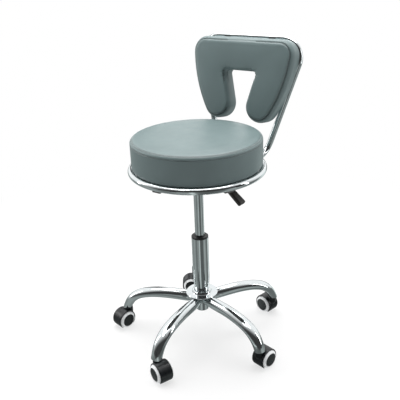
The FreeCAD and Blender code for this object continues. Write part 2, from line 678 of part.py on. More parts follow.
def build_seat_plate():
    """The seat plate with its valve box and cone socket, welded together, square to the lever."""
    plate = keep(new_body("seat_plate"), "seat_plate")
    extrude(plate, lambda sketch: add_outline(sketch, rectangle(
        "- plate_half", "- plate_half", "plate_half", "plate_half")),
        "board_bottom - plate_bottom", offset="plate_bottom")
    place(plate, rotation=turned(value("lever_turn")))
    extrude(plate, lambda sketch: add_outline(sketch, [
        ("- box_half", "plate_bottom"), ("- box_half", "box_bottom"),
        ("box_half", "box_bottom"), ("box_half", "plate_bottom"),
        ("box_half - box_wall", "plate_bottom"),
        ("box_half - box_wall", "box_bottom + box_wall"),
        ("- box_half + box_wall", "box_bottom + box_wall"),
        ("- box_half + box_wall", "plate_bottom")]),
        "box_length", role="YZ_Plane", both=True)
    extrude(plate, lambda sketch: add_circle(sketch, "cone_radius"),
            "cone_top - cone_bottom", offset="cone_bottom")
    revolve(plate, [
        ("0", "cone_bottom - edge"), ("cylinder_radius + clearance", "cone_bottom - edge"),
        ("cylinder_tip + cone_gap", "cone_top + edge"), ("0", "cone_top + edge")], cut=True)
    extrude(plate, lambda sketch: add_circle(
        sketch, "lever_pin + clearance", "lever_pivot", "lever_height"),
        "box_half + box_half + overrun", role="XZ_Plane", both=True, cut=True)
    corner = extrude(plate, lambda sketch: add_circle(
        sketch, "bolt_radius + bolt_gap", "plate_bolt", "plate_bolt"),
        offset="plate_bottom - edge", back=True, cut=True)
    pattern = plate.newObject("PartDesign::PolarPattern", "plate_bolt_pattern")
    pattern.Originals = [corner]
    pattern.Axis = (corner.Profile[0], ["N_Axis"])
    pattern.Angle = 360
    pattern.Occurrences = 4
    plate.Tip = pattern
    rim = value("plate_half") - NEAR
    dress(plate, "Fillet", "plate_corner", lambda edge: upright(edge)
          and abs(edge.Vertexes[0].X) > rim and abs(edge.Vertexes[0].Y) > rim)


def build_seat_board():
    """The plywood disc under the cushion, drilled for every bolt."""
    board = keep(new_body("seat_board"), "seat_board")
    extrude(board, lambda sketch: add_circle(sketch, "board_radius"),
            "board_top - board_bottom", offset="board_bottom")

    def holes(sketch):
        for x, y, under in bolt_places():
            add_circle(sketch, "bolt_radius + bolt_gap", str(x), str(y))

    extrude(board, holes, "bolt_top + bolt_tip_gap - board_bottom", offset="board_bottom",
            back=True, cut=True)
    dress(board, "Chamfer", "board_edge", lambda edge: edge.Curve.TypeId == "Part::GeomCircle"
          and edge.Curve.Radius > value("board_radius") - NEAR)


def build_cushion():
    """The round cushion: tucked in at the foot, straight sides, rounded upper edge."""
    cushion = keep(new_body("seat_cushion"), "seat_cushion")
    revolve(cushion, [
        ("0", "cushion_bottom"), ("cushion_foot", "cushion_bottom"),
        ("cushion_radius - edge", "cushion_shoulder"), ("cushion_radius", "cushion_full"),
        ("cushion_radius", "cushion_top - cushion_edge", "cushion_edge", 1),
        ("cushion_radius - cushion_edge", "cushion_top"), ("0", "cushion_top")])


def build_ring():
    """The chrome ring round the cushion's foot, and the lugs that bolt it under the board."""
    rings = []
    for name, radius in (("ring_outside", "tube_radius"), ("ring_inside", "tube_radius - tube_wall")):
        torus = doc.addObject("Part::Torus", name)
        bind(torus, Radius1="ring_radius", Radius2=radius)
        place(torus, V(0, 0, value("ring_height")))
        rings.append(torus)
    keep(boolean("Cut", "seat_ring", rings[0], rings[1]), "seat_ring")
    lug = new_body("ring_lug")
    extrude(lug, lambda sketch: (
        add_outline(sketch, rectangle("lug_root", "- lug_half_width", "lug_reach", "lug_half_width")),
        add_circle(sketch, "bolt_radius + bolt_gap", "lug_bolt")),
        "box_wall", offset="board_bottom - box_wall")
    dress(lug, "Fillet", "lug_corner", lambda edge: upright(edge)
          and edge.Vertexes[0].X < value("lug_root") + NEAR)
    copies = []
    for number, angle in enumerate(LUG_ANGLES, start=1):
        copy = compound("ring_lug_%d" % number, [lug])
        place(copy, rotation=turned(angle))
        copies.append(copy)
    keep(compound("ring_brackets", copies), "ring_brackets")


def build_bolts():
    """All the bolts under the seat, one plain pan head and shank each."""
    bolts = []
    for number, (x, y, under) in enumerate(bolt_places(), start=1):
        bolt = new_body("seat_bolt_%d" % number)
        revolve(bolt, [
            ("0", under + " - bolt_head_height + bolt_socket_depth"),
            ("bolt_socket", under + " - bolt_head_height + bolt_socket_depth"),
            ("bolt_socket", under + " - bolt_head_height"),
            ("bolt_head_radius - bolt_head_round", under + " - bolt_head_height"),
            ("bolt_head_radius", under + " - bolt_head_height + bolt_head_round"),
            ("bolt_head_radius", under), ("bolt_radius", under), ("bolt_radius", "bolt_top"),
            ("0", "bolt_top")])
        place(bolt, V(x, y, 0))
        bolts.append(bolt)
    keep(compound("underseat_screws", bolts), "underseat_screws")


# ---------------------------------------------------------------- back

def leg_height():
    """Centre height of the frame's legs where they run under the ring."""
    return value("ring_height - tube_radius - tube_radius")


def frame_point(x, along, front=0.0):
    """A point of the frame's leaning plane, 'along' up it and 'front' towards the sitter."""
    lean = math.radians(value("recline"))
    return V(x, value("root_back") + along * math.sin(lean) - front * math.cos(lean),
             value("ring_height") + along * math.cos(lean) + front * math.sin(lean))


def frame_placement():
    """Local X stays across, local Y runs up the leaning plane, local Z points at the sitter."""
    turn = FreeCAD.Rotation(V(1, 0, 0), 90 - value("recline"))
    return FreeCAD.Placement(frame_point(0, 0), turn)


def leg_half_width():
    """Half the distance between the legs under the seat."""
    lean = math.radians(value("recline"))
    along = (leg_height() - value("ring_height")) / math.cos(lean)
    spread = value("frame_head - frame_root") / value("frame_reach")
    return value("frame_root") + along * spread


def leg_at(along):
    """Half the distance between the legs' centre lines at a place up the frame."""
    spread = value("frame_head - frame_root") / value("frame_reach")
    return value("frame_root") + along * spread


def rounded_path(points, radii):
    """A wire of straight runs whose inner corners are tangent arcs."""
    edges = []
    start = points[0]
    for index in range(1, len(points) - 1):
        corner = points[index]
        back = (points[index - 1] - corner).normalize()
        ahead = (points[index + 1] - corner).normalize()
        half = back.getAngle(ahead) / 2
        length = radii[index - 1] / math.tan(half)
        first = corner + back * length
        last = corner + ahead * length
        inward = (back + ahead).normalize()
        centre = corner + inward * (radii[index - 1] / math.sin(half))
        middle = centre - inward * radii[index - 1]
        edges.append(Part.LineSegment(start, first).toShape())
        edges.append(Part.Arc(first, middle, last).toShape())
        start = last
    edges.append(Part.LineSegment(start, points[-1]).toShape())
    return Part.Wire(edges)


def tube_along(name, path, radius, direction):
    """A round bar swept along a path."""
    feature = doc.addObject("Part::Feature", name + "_path")
    feature.Shape = path
    profile = doc.addObject("Part::Circle", name + "_profile")
    bind(profile, Radius=radius)
    place(profile, path.Vertexes[0].Point, FreeCAD.Rotation(UP, direction))
    sweep = doc.addObject("Part::Sweep", name)
    sweep.Sections = [profile]
    sweep.Spine = (feature, ["Edge%d" % number for number in range(1, len(path.Edges) + 1)])
    sweep.Solid = True
    sweep.Frenet = False
    return sweep


def tab_places():
    """The four tabs that carry the back: (x, along the frame, direction of the tab)."""
    low = value("tab_low_y")
    head = value("frame_reach")
    across = value("tab_top_x")
    return [(-across, head, -90), (across, head, -90),
            (-leg_at(low), low, 0), (leg_at(low), low, 180)]


def build_frame():
    """The bent tube behind the seat with its four tabs, and the plugs in its ends."""
    half = leg_half_width()
    front = V(half, value("leg_front"), leg_height())
    lean = math.radians(value("recline"))
    knee = frame_point(half, (leg_height() - value("ring_height")) / math.cos(lean))
    head = frame_point(value("frame_head"), value("frame_reach"))
    right = [front, knee, head]
    left = [V(-point.x, point.y, point.z) for point in reversed(right)]
    knee_radius = value("frame_knee")
    corner_radius = value("frame_corner")
    path = rounded_path(right + left, [knee_radius, corner_radius, corner_radius, knee_radius])
    outside = tube_along("frame_outside", path, "tube_radius", V(0, 1, 0))
    inside = tube_along("frame_inside", path, "tube_radius - tube_wall", V(0, 1, 0))
    pieces = [outside]
    for number, (x, along, direction) in enumerate(tab_places(), start=1):
        tab = new_body("frame_tab_%d" % number)
        extrude(tab, lambda sketch: (
            add_outline(sketch, rectangle("0", "- tab_half_width", "tab_length", "tab_half_width")),
            add_circle(sketch, "pad_screw_radius + bolt_gap", "tab_screw")),
            "tab_wall", offset="tube_radius - tab_wall")
        local = FreeCAD.Placement(V(x, along, 0), turned(direction))
        tab.Placement = frame_placement().multiply(local)
        pieces.append(tab)
    solid = doc.addObject("Part::MultiFuse", "frame_with_tabs")
    solid.Shapes = pieces
    hollow = boolean("Cut", "frame_hollow", solid, inside)
    holes = []
    for x, y, under in bolt_places():
        if under.startswith("board_bottom - tube"):
            holes.append(cylinder("leg_hole_%d" % len(holes), "bolt_radius + bolt_gap",
                                  "board_bottom - tube_radius - tube_radius - overrun",
                                  "tube_radius + tube_radius + overrun + overrun", x, y))
    keep(boolean("Cut", "back_frame", hollow, compound("leg_holes", holes)), "back_frame")

    plugs = []
    for side in (-1, 1):
        plug = new_body("end_plug_left" if side < 0 else "end_plug_right")
        revolve(plug, [
            ("0", "- plug_cap"), ("tube_radius - plug_round", "- plug_cap"),
            ("tube_radius", "- plug_cap + plug_round"), ("tube_radius", "0"),
            ("tube_radius - tube_wall - clearance", "0"),
            ("tube_radius - tube_wall - clearance", "plug_depth"), ("0", "plug_depth")])
        place(plug, V(side * half, value("leg_front"), leg_height()),
              FreeCAD.Rotation(V(1, 0, 0), -90))
        plugs.append(plug)
    keep(compound("frame_end_plugs", plugs), "frame_end_plugs")


def circles_touch(first, last, apart_first, apart_last):
    """The point to the left of two points that is so far from each of them."""
    line = last - first
    along = (apart_first ** 2 - apart_last ** 2 + line.Length ** 2) / (2 * line.Length)
    unit = V(line).normalize()
    left = V(-unit.y, unit.x, 0)
    return first + unit * along + left * math.sqrt(apart_first ** 2 - along ** 2)


def pad_outline(inset):
    """The padded back's outline, drawn 'inset' inside the pad: two round legs and a slot.

    Every stretch is tangent to the next one, so the outline has no corners.
    """
    less = " - " + inset
    more = " + " + inset
    shoulder = V(value("pad_corner_x"), value("pad_top - pad_corner"), 0)
    leg = V(value("pad_leg_x"), value("pad_leg_y"), 0)
    slot = V(value("slot_corner_x"), value("slot_top - slot_corner"), 0)
    flank = circles_touch(leg, shoulder, value("pad_side - pad_leg_radius"),
                          value("pad_side - pad_corner"))
    side_top = shoulder + (shoulder - flank).normalize() * value("pad_corner" + less)
    side_low = leg + (leg - flank).normalize() * value("pad_leg_radius" + less)
    across = leg - slot
    reach = value("pad_leg_radius + slot_corner")
    tilt = math.atan2(across.y, across.x) + math.acos(reach / across.Length)
    normal = V(math.cos(tilt), math.sin(tilt), 0)
    wall_low = leg - normal * value("pad_leg_radius" + less)
    wall_top = slot + normal * value("slot_corner" + more)
    right = [
        (shoulder.x, value("pad_top" + less), "pad_corner" + less, -1),
        (side_top.x, side_top.y, "pad_side" + less, -1),
        (side_low.x, side_low.y, "pad_leg_radius" + less, -1),
        (leg.x, value("pad_leg_y - pad_leg_radius" + more), "pad_leg_radius" + less, -1),
        (wall_low.x, wall_low.y),
        (wall_top.x, wall_top.y, "slot_corner" + more, 1),
        (slot.x, value("slot_top" + more)),
    ]
    corners = list(right)
    for index in range(len(right) - 1, -1, -1):
        arc = right[index - 1][2:] if index > 0 else ()
        corners.append((-right[index][0], right[index][1]) + arc)
    return [("%.6f" % corner[0], "%.6f" % corner[1]) + corner[2:] for corner in corners]


def build_back():
    """The board inside the padded back, the pad itself and the screws from behind."""
    board = keep(new_body("back_board"), "back_board")
    extrude(board, lambda sketch: add_outline(sketch, pad_outline("back_board_inset")),
            "back_board_thick", offset="tube_radius")

    def holes(sketch):
        for x, along in screw_places():
            add_circle(sketch, "pad_screw_radius + bolt_gap", str(x), str(along))

    extrude(board, holes, "back_board_thick", offset="tube_radius", back=True, cut=True)
    board.Placement = frame_placement()

    pad = keep(new_body("back_pad"), "back_pad")
    extrude(pad, lambda sketch: add_outline(sketch, pad_outline("0")),
            "pad_front - tube_radius - back_board_thick", offset="tube_radius + back_board_thick")
    front = value("pad_front")
    dress(pad, "Fillet", "pad_edge", lambda edge: all(
        abs(vertex.Z - front) < NEAR for vertex in edge.Vertexes))
    pad.Placement = frame_placement()

    screws = []
    for number, (x, along) in enumerate(screw_places(), start=1):
        screw = new_body("pad_screw_%d" % number)
        revolve(screw, [
            ("0", "tube_radius - tab_wall - pad_screw_high"),
            ("pad_screw_head - pad_screw_round", "tube_radius - tab_wall - pad_screw_high"),
            ("pad_screw_head", "tube_radius - tab_wall - pad_screw_high + pad_screw_round"),
            ("pad_screw_head", "tube_radius - tab_wall"),
            ("pad_screw_radius", "tube_radius - tab_wall"),
            ("pad_screw_radius", "tube_radius + back_board_thick - edge"),
            ("0", "tube_radius + back_board_thick - edge")])
        local = FreeCAD.Placement(V(x, along, 0), FreeCAD.Rotation())
        screw.Placement = frame_placement().multiply(local)
        screws.append(screw)
    keep(compound("back_pad_screws", screws), "back_pad_screws")


def screw_places():
    """The back's screws in the frame's plane: (x, along)."""
    places = []
    for x, along, direction in tab_places():
        step = polar(value("tab_screw"), direction)
        places.append((x + step.x, along + step.y))
    return places


# ---------------------------------------------------------------- lever

def build_lever():
    """The bent lever rod with its welded cross pin, and the moulded grip on its end."""
    slope = math.radians(value("lever_droop"))
    height = value("lever_height")
    bend = V(value("lever_bend"), 0, height)
    along = V(math.cos(slope), 0, -math.sin(slope))
    grip_start = bend + along * value("lever_grip_start")
    tip = grip_start + along * value("grip_hole - edge")
    path = rounded_path([V(value("lever_inner"), 0, height), bend, tip], [value("lever_curve")])
    bar = tube_along("lever_bar", path, "lever_rod", V(1, 0, 0))
    pin_bar = doc.addObject("Part::Cylinder", "lever_pin")
    bind(pin_bar, Radius="lever_pin", Height="box_half + box_half + overrun")
    place(pin_bar, V(value("lever_pivot"), value("box_half + edge"), height),
          FreeCAD.Rotation(V(1, 0, 0), 90))
    rod = boolean("Fuse", "lever_bar_and_pin", bar, pin_bar)
    place(keep(compound("lever_rod", [rod]), "lever_rod"), rotation=turned(value("lever_turn")))

    grip = new_body("grip")
    length = "lever_grip_end - lever_grip_start"
    extrude(grip, lambda sketch: add_outline(sketch, [
        ("0", "- grip_root_half"), (length, "- grip_tip_half"),
        (length, "grip_tip_half"), ("0", "grip_root_half")]),
        "grip_half_thick + grip_half_thick", both=True)
    dress(grip, "Fillet", "grip_edge", lambda edge: True)
    extrude(grip, lambda sketch: add_circle(sketch, "lever_rod + clearance"),
            "grip_hole", role="YZ_Plane", back=True, cut=True)
    droop = FreeCAD.Rotation(V(0, 1, 0), value("lever_droop"))
    place(grip, grip_start, droop)
    place(keep(compound("lever_handle", [grip]), "lever_handle"), rotation=turned(value("lever_turn")))


# ---------------------------------------------------------------- castors

def castor_housing():
    """The moulded castor housing: a hood over both wheels, a middle wall and a neck."""
    body = new_body("castor_housing")
    extrude(body, lambda sketch: add_circle(sketch, "hood_radius", "trail", "wheel_radius"),
            "hood_half + hood_half", role="XZ_Plane", both=True)
    dress(body, "Fillet", "hood_round", lambda edge: edge.Curve.TypeId == "Part::GeomCircle")
    revolve(body, [
        ("0", "neck_foot"), ("neck_side - neck_taper", "neck_foot"),
        ("neck_side", "neck_foot + neck_taper_height"), ("neck_side", "neck_top - edge"),
        ("neck_side - edge", "neck_top"), ("0", "neck_top")])
    for back in (False, True):
        offset = "- web_half" if back else "web_half"
        extrude(body, lambda sketch: add_circle(sketch, "hood_inner", "trail", "wheel_radius"),
                "hood_half", role="XZ_Plane", offset=offset, back=not back, cut=True)
    extrude(body, lambda sketch: add_outline(sketch, rectangle(
        "- hood_radius", "- hood_radius", "hood_radius + hood_radius", "hood_bottom")),
        role="XZ_Plane", offset="hood_radius", cut=True)
    extrude(body, lambda sketch: add_circle(
        sketch, "axle_radius + clearance", "trail", "wheel_radius"),
        role="XZ_Plane", offset="hood_radius", cut=True)
    extrude(body, lambda sketch: add_circle(sketch, "stem_radius + clearance"),
            "neck_top - stem_bottom + stem_gap", offset="neck_top", cut=True)
    return body


def wheel_parts():
    """One wheel, axis along Y: the black wheel body with its cap, and the soft domed tyre."""
    hub = new_body("castor_wheel")
    revolve(hub, [
        ("axle_radius + clearance", "wheel_inner"), ("axle_radius + boss_wall", "wheel_inner"),
        ("axle_radius + boss_wall", "wheel_face - wheel_web"),
        ("tyre_inner - rim_wall", "wheel_face - wheel_web"),
        ("tyre_inner - rim_wall", "wheel_inner + edge"),
        ("tyre_inner - clearance", "wheel_inner + edge"),
        ("tyre_inner - clearance", "wheel_face - cap_step"), ("cap_radius", "wheel_face - cap_step"),
        ("cap_radius - cap_step", "wheel_face - cap_inset"), ("cap_flat", "wheel_face + cap_crown"),
        ("0", "wheel_face + cap_crown"), ("0", "axle_half + axle_gap"),
        ("axle_radius + clearance", "axle_half + axle_gap")], role="XY_Plane")
    tyre = new_body("castor_tyre")
    revolve(tyre, [
        ("tyre_inner", "wheel_inner + tyre_inset"),
        ("wheel_radius - tyre_bevel", "wheel_inner + tyre_inset"),
        ("wheel_radius", "wheel_inner + tyre_inset + tyre_bevel"),
        ("wheel_radius", "tread_end", "tyre_dome", 1), ("tyre_face", "wheel_face"),
        ("tyre_inner", "wheel_face - cap_inset")], role="XY_Plane")
    return hub, tyre


def build_castors():
    """Five castors, each a housing, an axle, two wheels and two tyres."""
    housing = castor_housing()
    hub, tyre = wheel_parts()
    axle = doc.addObject("Part::Cylinder", "axle_bar")
    bind(axle, Radius="axle_radius", Height="axle_half + axle_half")
    place(axle, V(value("trail"), value("axle_half"), value("wheel_radius")),
          FreeCAD.Rotation(V(1, 0, 0), 90))
    centre = V(value("trail"), 0, value("wheel_radius"))
    half_turn = turned(180)
    local = {
        "housing": (housing, FreeCAD.Placement()),
        "axle": (axle, FreeCAD.Placement()),
        "wheel_left": (hub, FreeCAD.Placement(centre, FreeCAD.Rotation())),
        "tyre_left": (tyre, FreeCAD.Placement(centre, FreeCAD.Rotation())),
        "wheel_right": (hub, FreeCAD.Placement(centre, half_turn)),
        "tyre_right": (tyre, FreeCAD.Placement(centre, half_turn)),
    }
    for number, (angle, turn) in enumerate(zip(ARM_ANGLES, CASTOR_TURNS), start=1):
        spot = FreeCAD.Placement(polar(value("castor_circle"), angle), turned(turn))
        for piece, (shape, placement) in local.items():
            name = "caster_%d_%s" % (number, piece)
            keep(compound(name, [shape]), name).Placement = spot.multiply(placement)


# ---------------------------------------------------------------- make and write

def check():
    """Stop if an object failed, a cut took nothing away, or a sub-part is empty or unsound."""
    for item in doc.Objects:
        for word in ("Invalid", "Error"):
            if word in item.State:
                raise RuntimeError("%s: %s" % (item.Label, item.State))
        if item.TypeId in ("PartDesign::Pocket", "PartDesign::Groove"):
            if item.BaseFeature.Shape.Volume - item.Shape.Volume < LEAST_CUT:
                raise RuntimeError("%s cuts nothing" % item.Label)
    for item in NODES:
        if item.Shape.isNull() or not item.Shape.isValid() or not item.Shape.Solids:
            raise RuntimeError("%s has no sound shape" % item.Label)


def main():
    """Build every sub-part, check it and write one STEP file each."""
    fill_sheet()
    build_hub()
    build_arms()
    build_sockets()
    build_column()
    build_rod()
    build_bearing()
    build_cylinder()
    build_seat_plate()
    build_seat_board()
    build_cushion()
    build_ring()
    build_bolts()
    build_frame()
    build_back()
    build_lever()
    build_castors()
    doc.recompute()
    check()
    os.makedirs("parts", exist_ok=True)
    for item in NODES:
        item.Shape.exportStep("parts/%s.step" % item.Label)
        print("%-22s %2d solids %10.1f mm3" % (item.Label, len(item.Shape.Solids), item.Shape.Volume))
    print(len(NODES), "sub-parts")


main()
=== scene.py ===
import json
import math

import bmesh
import bpy
from mathutils import Matrix, Vector, geometry, noise
from mathutils.kdtree import KDTree


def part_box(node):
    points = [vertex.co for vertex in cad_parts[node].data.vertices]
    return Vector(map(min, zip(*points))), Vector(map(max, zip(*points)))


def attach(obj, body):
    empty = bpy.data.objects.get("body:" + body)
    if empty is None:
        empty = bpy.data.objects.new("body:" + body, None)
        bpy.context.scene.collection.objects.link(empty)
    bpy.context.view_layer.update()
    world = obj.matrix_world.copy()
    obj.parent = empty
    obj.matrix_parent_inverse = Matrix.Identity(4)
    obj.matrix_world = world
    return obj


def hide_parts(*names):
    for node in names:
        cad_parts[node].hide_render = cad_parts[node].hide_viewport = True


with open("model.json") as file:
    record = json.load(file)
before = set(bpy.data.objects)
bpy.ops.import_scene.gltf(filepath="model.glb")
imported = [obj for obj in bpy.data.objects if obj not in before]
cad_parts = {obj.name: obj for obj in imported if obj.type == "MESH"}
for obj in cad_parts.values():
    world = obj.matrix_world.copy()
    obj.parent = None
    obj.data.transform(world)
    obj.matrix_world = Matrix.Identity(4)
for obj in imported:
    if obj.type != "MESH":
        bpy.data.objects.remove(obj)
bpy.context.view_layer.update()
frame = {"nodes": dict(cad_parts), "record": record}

MM = 0.001

# ---------------------------------------------------------------- sizes of the soft pieces
# The lists of pairs are in millimetres, and everything else is in metres.

SEAT_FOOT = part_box("seat_cushion")[0].z
SEAT_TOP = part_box("seat_cushion")[1].z
SEAT_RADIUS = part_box("seat_cushion")[1].x
SEAT_TUCK = [(11, 0), (6.05, 3), (2.2, 7)]  # inset, height over the foot
SEAT_SIDE_RISE = 12 * MM
SEAT_SIDE_DROP = 16 * MM
SEAT_SIDE_INSET = 1 * MM
SEAT_SIDE_STEPS = 11
# Inset, depth under the top: over the lower row of stitches, the rolled band and the upper row.
SEAT_EDGE = [(0.8, 13.6), (1.5, 12.1), (0.9, 10.8), (1.2, 9.4), (2.2, 7.4), (3.5, 5.4), (5.4, 3.7),
             (6.4, 2.6), (8.2, 1.4), (10.6, 0.5), (13.5, 0.0)]
SEAT_ROWS = {"upper": (3.7 * MM, 1.0), "lower": (12.1 * MM, 0.0)}  # depth under the top, upward tilt
SEAT_ROW_DEPTH = 1.2 * MM
SEAT_ROW_WIDTH = 1.0 * MM
SEAT_RIM = 12 * MM
SEAT_HELD = 4 * MM
SEAT_SWELL = 3.0 * MM
RIPPLE_SCALE = 42
RIPPLE_DEPTH = 0.35 * MM
RIPPLE_REACH = 9 * MM

STITCH_PITCH = 4.2 * MM
STITCH_LENGTH = 3.1 * MM
STITCH_RADIUS = 0.75 * MM
STITCH_FLATNESS = 0.9
STITCH_SIDES = 6
# Place along the stitch and girth there, as shares of its length and radius.
STITCH_RINGS = [(-0.5, 0.25), (-0.42, 0.75), (-0.2, 1.0), (0.2, 1.0), (0.42, 0.75), (0.5, 0.25)]

RING_HEIGHT = 545.4 * MM
FRAME_ROOT_Y = 249.2 * MM
RECLINE = math.radians(9.46)

PAD_BACK = 8.8 * MM
BOARD_FRONT = 18 * MM
PAD_TOP = 316 * MM
PAD_HEM = [(9, 0), (3, 0), (1.4, 0.8)]  # inset, distance in front of the pad's back
PAD_WALL_FOOT = 3 * MM
PAD_WALL_TOP = 39 * MM
PAD_WALL_INSET = 0.6 * MM
PAD_WALL_STEPS = 8
# Inset, distance in front of the frame: the roll, the sewn line and the front panel.
PAD_ROLL = [(1.0, 43), (2.3, 46.5), (4.4, 49.8), (7.0, 52.3)]
PAD_SEAM = (9.8, 53.2)
PAD_PANEL = [(11.0, 55.2), (13.8, 56.8), (18.5, 57.4)]
PAD_SEAM_DEPTH = 2.3 * MM
PAD_SEAM_WIDTH = 1.8 * MM
PUCKER_REACH = 17 * MM
PUCKER_DEPTH = 3.0 * MM
PUCKER_FOLDS = 9
PUCKER_END = 2.5
PUCKER_FALL = 2
PUCKER_EVEN = 0.35
PAD_SWELL = 2.2 * MM
SLOT_HOLD = 0.5
SLOT_SIDE = 6 * MM
SLOT_CREASE = 0.15
SLOT_CREASE_SIDE = 8 * MM
SLOT_CREASE_FOOT = 10 * MM
SHOULDER = Vector((123 * MM, 270.5 * MM))
SHOULDER_RADIUS = 45.5 * MM
FLANK_RADIUS = 403 * MM
LEG = Vector((73 * MM, 120 * MM))
LEG_RADIUS = 46 * MM
SLOT_CORNER = Vector((40 * MM, 212 * MM))
SLOT_RADIUS = 9 * MM
SLOT_INSET = 0.5

CLOTH_STEP = 5 * MM
CLOTH_FRAMES = 20
CLOTH_CLEARANCE = 0.7
CLOTH = {
    "quality": 6, "mass": 0.3, "tension_stiffness": 30, "compression_stiffness": 30,
    "shear_stiffness": 10, "bending_stiffness": 1.5, "use_pressure": True,
    "uniform_pressure_force": 4.0, "vertex_group_mass": "held",
}
SMOOTHINGS = 12
FEWEST_STEPS = 3
SAME_POINT = 1e-7
# Share of its colour that the vinyl keeps in a seam: painted shade in the sewn lines.
PAINTED_SEAM_SHADE = 0.34


# ---------------------------------------------------------------- small helpers

def mesh_object(name, points, faces, smooth=True):
    """A new mesh object made of these points and faces."""
    mesh = bpy.data.meshes.new(name)
    mesh.from_pydata([tuple(point) for point in points], [], faces)
    mesh.update()
    for polygon in mesh.polygons:
        polygon.use_smooth = smooth
    piece = bpy.data.objects.new(name, mesh)
    bpy.context.scene.collection.objects.link(piece)
    return piece


def only_active(piece):
    """Makes this the one selected, active object."""
    for other in bpy.context.selected_objects:
        other.select_set(False)
    piece.select_set(True)
    bpy.context.view_layer.objects.active = piece


def circles_touch(first, second, from_first, from_second):
    """The point at these two distances from two centres that lies on the side towards the middle."""
    span = second - first
    along = (from_first ** 2 - from_second ** 2 + span.length ** 2) / (2 * span.length)
    across = math.sqrt(from_first ** 2 - along ** 2)
    unit = span.normalized()
    side = Vector((-unit.y, unit.x))
    found = [first + unit * along + side * across * way for way in (1, -1)]
    return min(found, key=lambda point: point.x)


def inside(point, loop):
    """Whether a point is inside a closed loop of points."""
    odd = False
    for (ax, ay), (bx, by) in zip(loop, loop[1:] + loop[:1]):
        if (ay > point[1]) != (by > point[1]):
            if point[0] < ax + (point[1] - ay) * (bx - ax) / (by - ay):
                odd = not odd
    return odd


# ---------------------------------------------------------------- outlines of the two soft pieces

def seat_outline(inset):
    """The seat's circle, drawn inset inside its full width."""
    count = round(2 * math.pi * SEAT_RADIUS / CLOTH_STEP)
    radius = SEAT_RADIUS - inset
    turns = [2 * math.pi * index / count for index in range(count)]
    return [(radius * math.cos(turn), radius * math.sin(turn)) for turn in turns]


def arc_steps(radius, first, last):
    """How many steps of the cloth's size an arc takes."""
    return max(FEWEST_STEPS, round(radius * abs(last - first) / CLOTH_STEP))


def on_circle(centre, radius, turn):
    """The point of a circle at an angle."""
    return centre.x + radius * math.cos(turn), centre.y + radius * math.sin(turn)


def pad_pieces():
    """The right half of the pad's outline as arcs: centre, radius, two angles, sign of the inset."""
    flank = circles_touch(LEG, SHOULDER, FLANK_RADIUS - LEG_RADIUS, FLANK_RADIUS - SHOULDER_RADIUS)
    high = math.atan2(*(SHOULDER - flank).yx)
    low = math.atan2(*(LEG - flank).yx)
    across = LEG - SLOT_CORNER
    reach = LEG_RADIUS + SLOT_RADIUS
    tilt = math.atan2(across.y, across.x) + math.acos(reach / across.length)
    quarter = math.pi / 2
    return [
        (SHOULDER, SHOULDER_RADIUS, quarter, high, -1),
        (flank, FLANK_RADIUS, high, low, -1),
        (LEG, LEG_RADIUS, low, tilt - math.pi, -1),
        (SLOT_CORNER, SLOT_RADIUS, tilt, quarter, 1),
    ]


def pad_outline(inset):
    """The pad's closed outline, drawn inset inside it, in the plane of the back frame.

    Round the slot the inset is a share of what it is outside, and it changes over round the legs.
    """
    right = [(0.0, PAD_TOP - inset)]
    for centre, radius, first, last, way in pad_pieces():
        steps = arc_steps(radius, first, last)
        for index in range(steps + 1):
            share = 1.0
            if centre == LEG:
                share -= (1 - SLOT_INSET) * max(0.0, 2 * index / steps - 1)
            if centre == SLOT_CORNER:
                share = SLOT_INSET
            size = radius + way * inset * share
            turn = first + (last - first) * index / steps
            right.append(on_circle(centre, size, turn))
    right.append((0.0, SLOT_CORNER.y + SLOT_RADIUS + inset * SLOT_INSET))
    full = fill_straights(right, pad_straights())
    left = [(-x, y) for x, y in reversed(full[1:-1])]
    return full + left


def pad_straights():
    """How many steps each straight stretch takes, by the length that it has at no inset."""
    shoulder, flank, leg, corner = [
        (on_circle(centre, radius, first), on_circle(centre, radius, last))
        for centre, radius, first, last, way in pad_pieces()]
    lengths = {
        "top": math.dist(shoulder[0], (0.0, PAD_TOP)),
        "wall": math.dist(corner[0], leg[1]),
        "slot": corner[1][0],
    }
    return {name: max(1, round(length / CLOTH_STEP)) for name, length in lengths.items()}


def fill_straights(right, steps):
    """Adds points along the top, the slot's wall and the slot's top."""
    counts = [arc_steps(radius, first, last) for centre, radius, first, last, way in pad_pieces()]
    leg_end = sum(count + 1 for count in counts[:3])
    places = {0: steps["top"], leg_end: steps["wall"], len(right) - 2: steps["slot"]}
    full = []
    for index, point in enumerate(right[:-1]):
        nearby = right[index + 1]
        if math.dist(point, nearby) < SAME_POINT:
            continue
        full.append(point)
        for step in range(1, places.get(index, 1)):
            share = step / places[index]
            full.append(tuple(a + (b - a) * share for a, b in zip(point, nearby)))
    return full + [right[-1]]


# ---------------------------------------------------------------- a stuffed cover of one outline

def filled(loop, spacing):
    """Even triangles inside a loop of points: (points, faces), the loop's own points first."""
    xs = [x for x, y in loop]
    ys = [y for x, y in loop]
    grid = []
    row = 0
    y = min(ys) + spacing
    while y < max(ys):
        x = min(xs) + spacing * (0.5 if row % 2 else 1.0)
        while x < max(xs):
            nearest = min((x - a) ** 2 + (y - b) ** 2 for a, b in loop)
            if nearest > (CLOTH_CLEARANCE * spacing) ** 2 and inside((x, y), loop):
                grid.append((x, y))
            x += spacing
        y += spacing * math.sqrt(3) / 2
        row += 1
    points = [Vector(point) for point in list(loop) + grid]
    edges = [(index, (index + 1) % len(loop)) for index in range(len(loop))]
    made = geometry.delaunay_2d_cdt(points, edges, [], 1, SAME_POINT)
    return [tuple(point) for point in made[0]], [tuple(face) for face in made[2]]


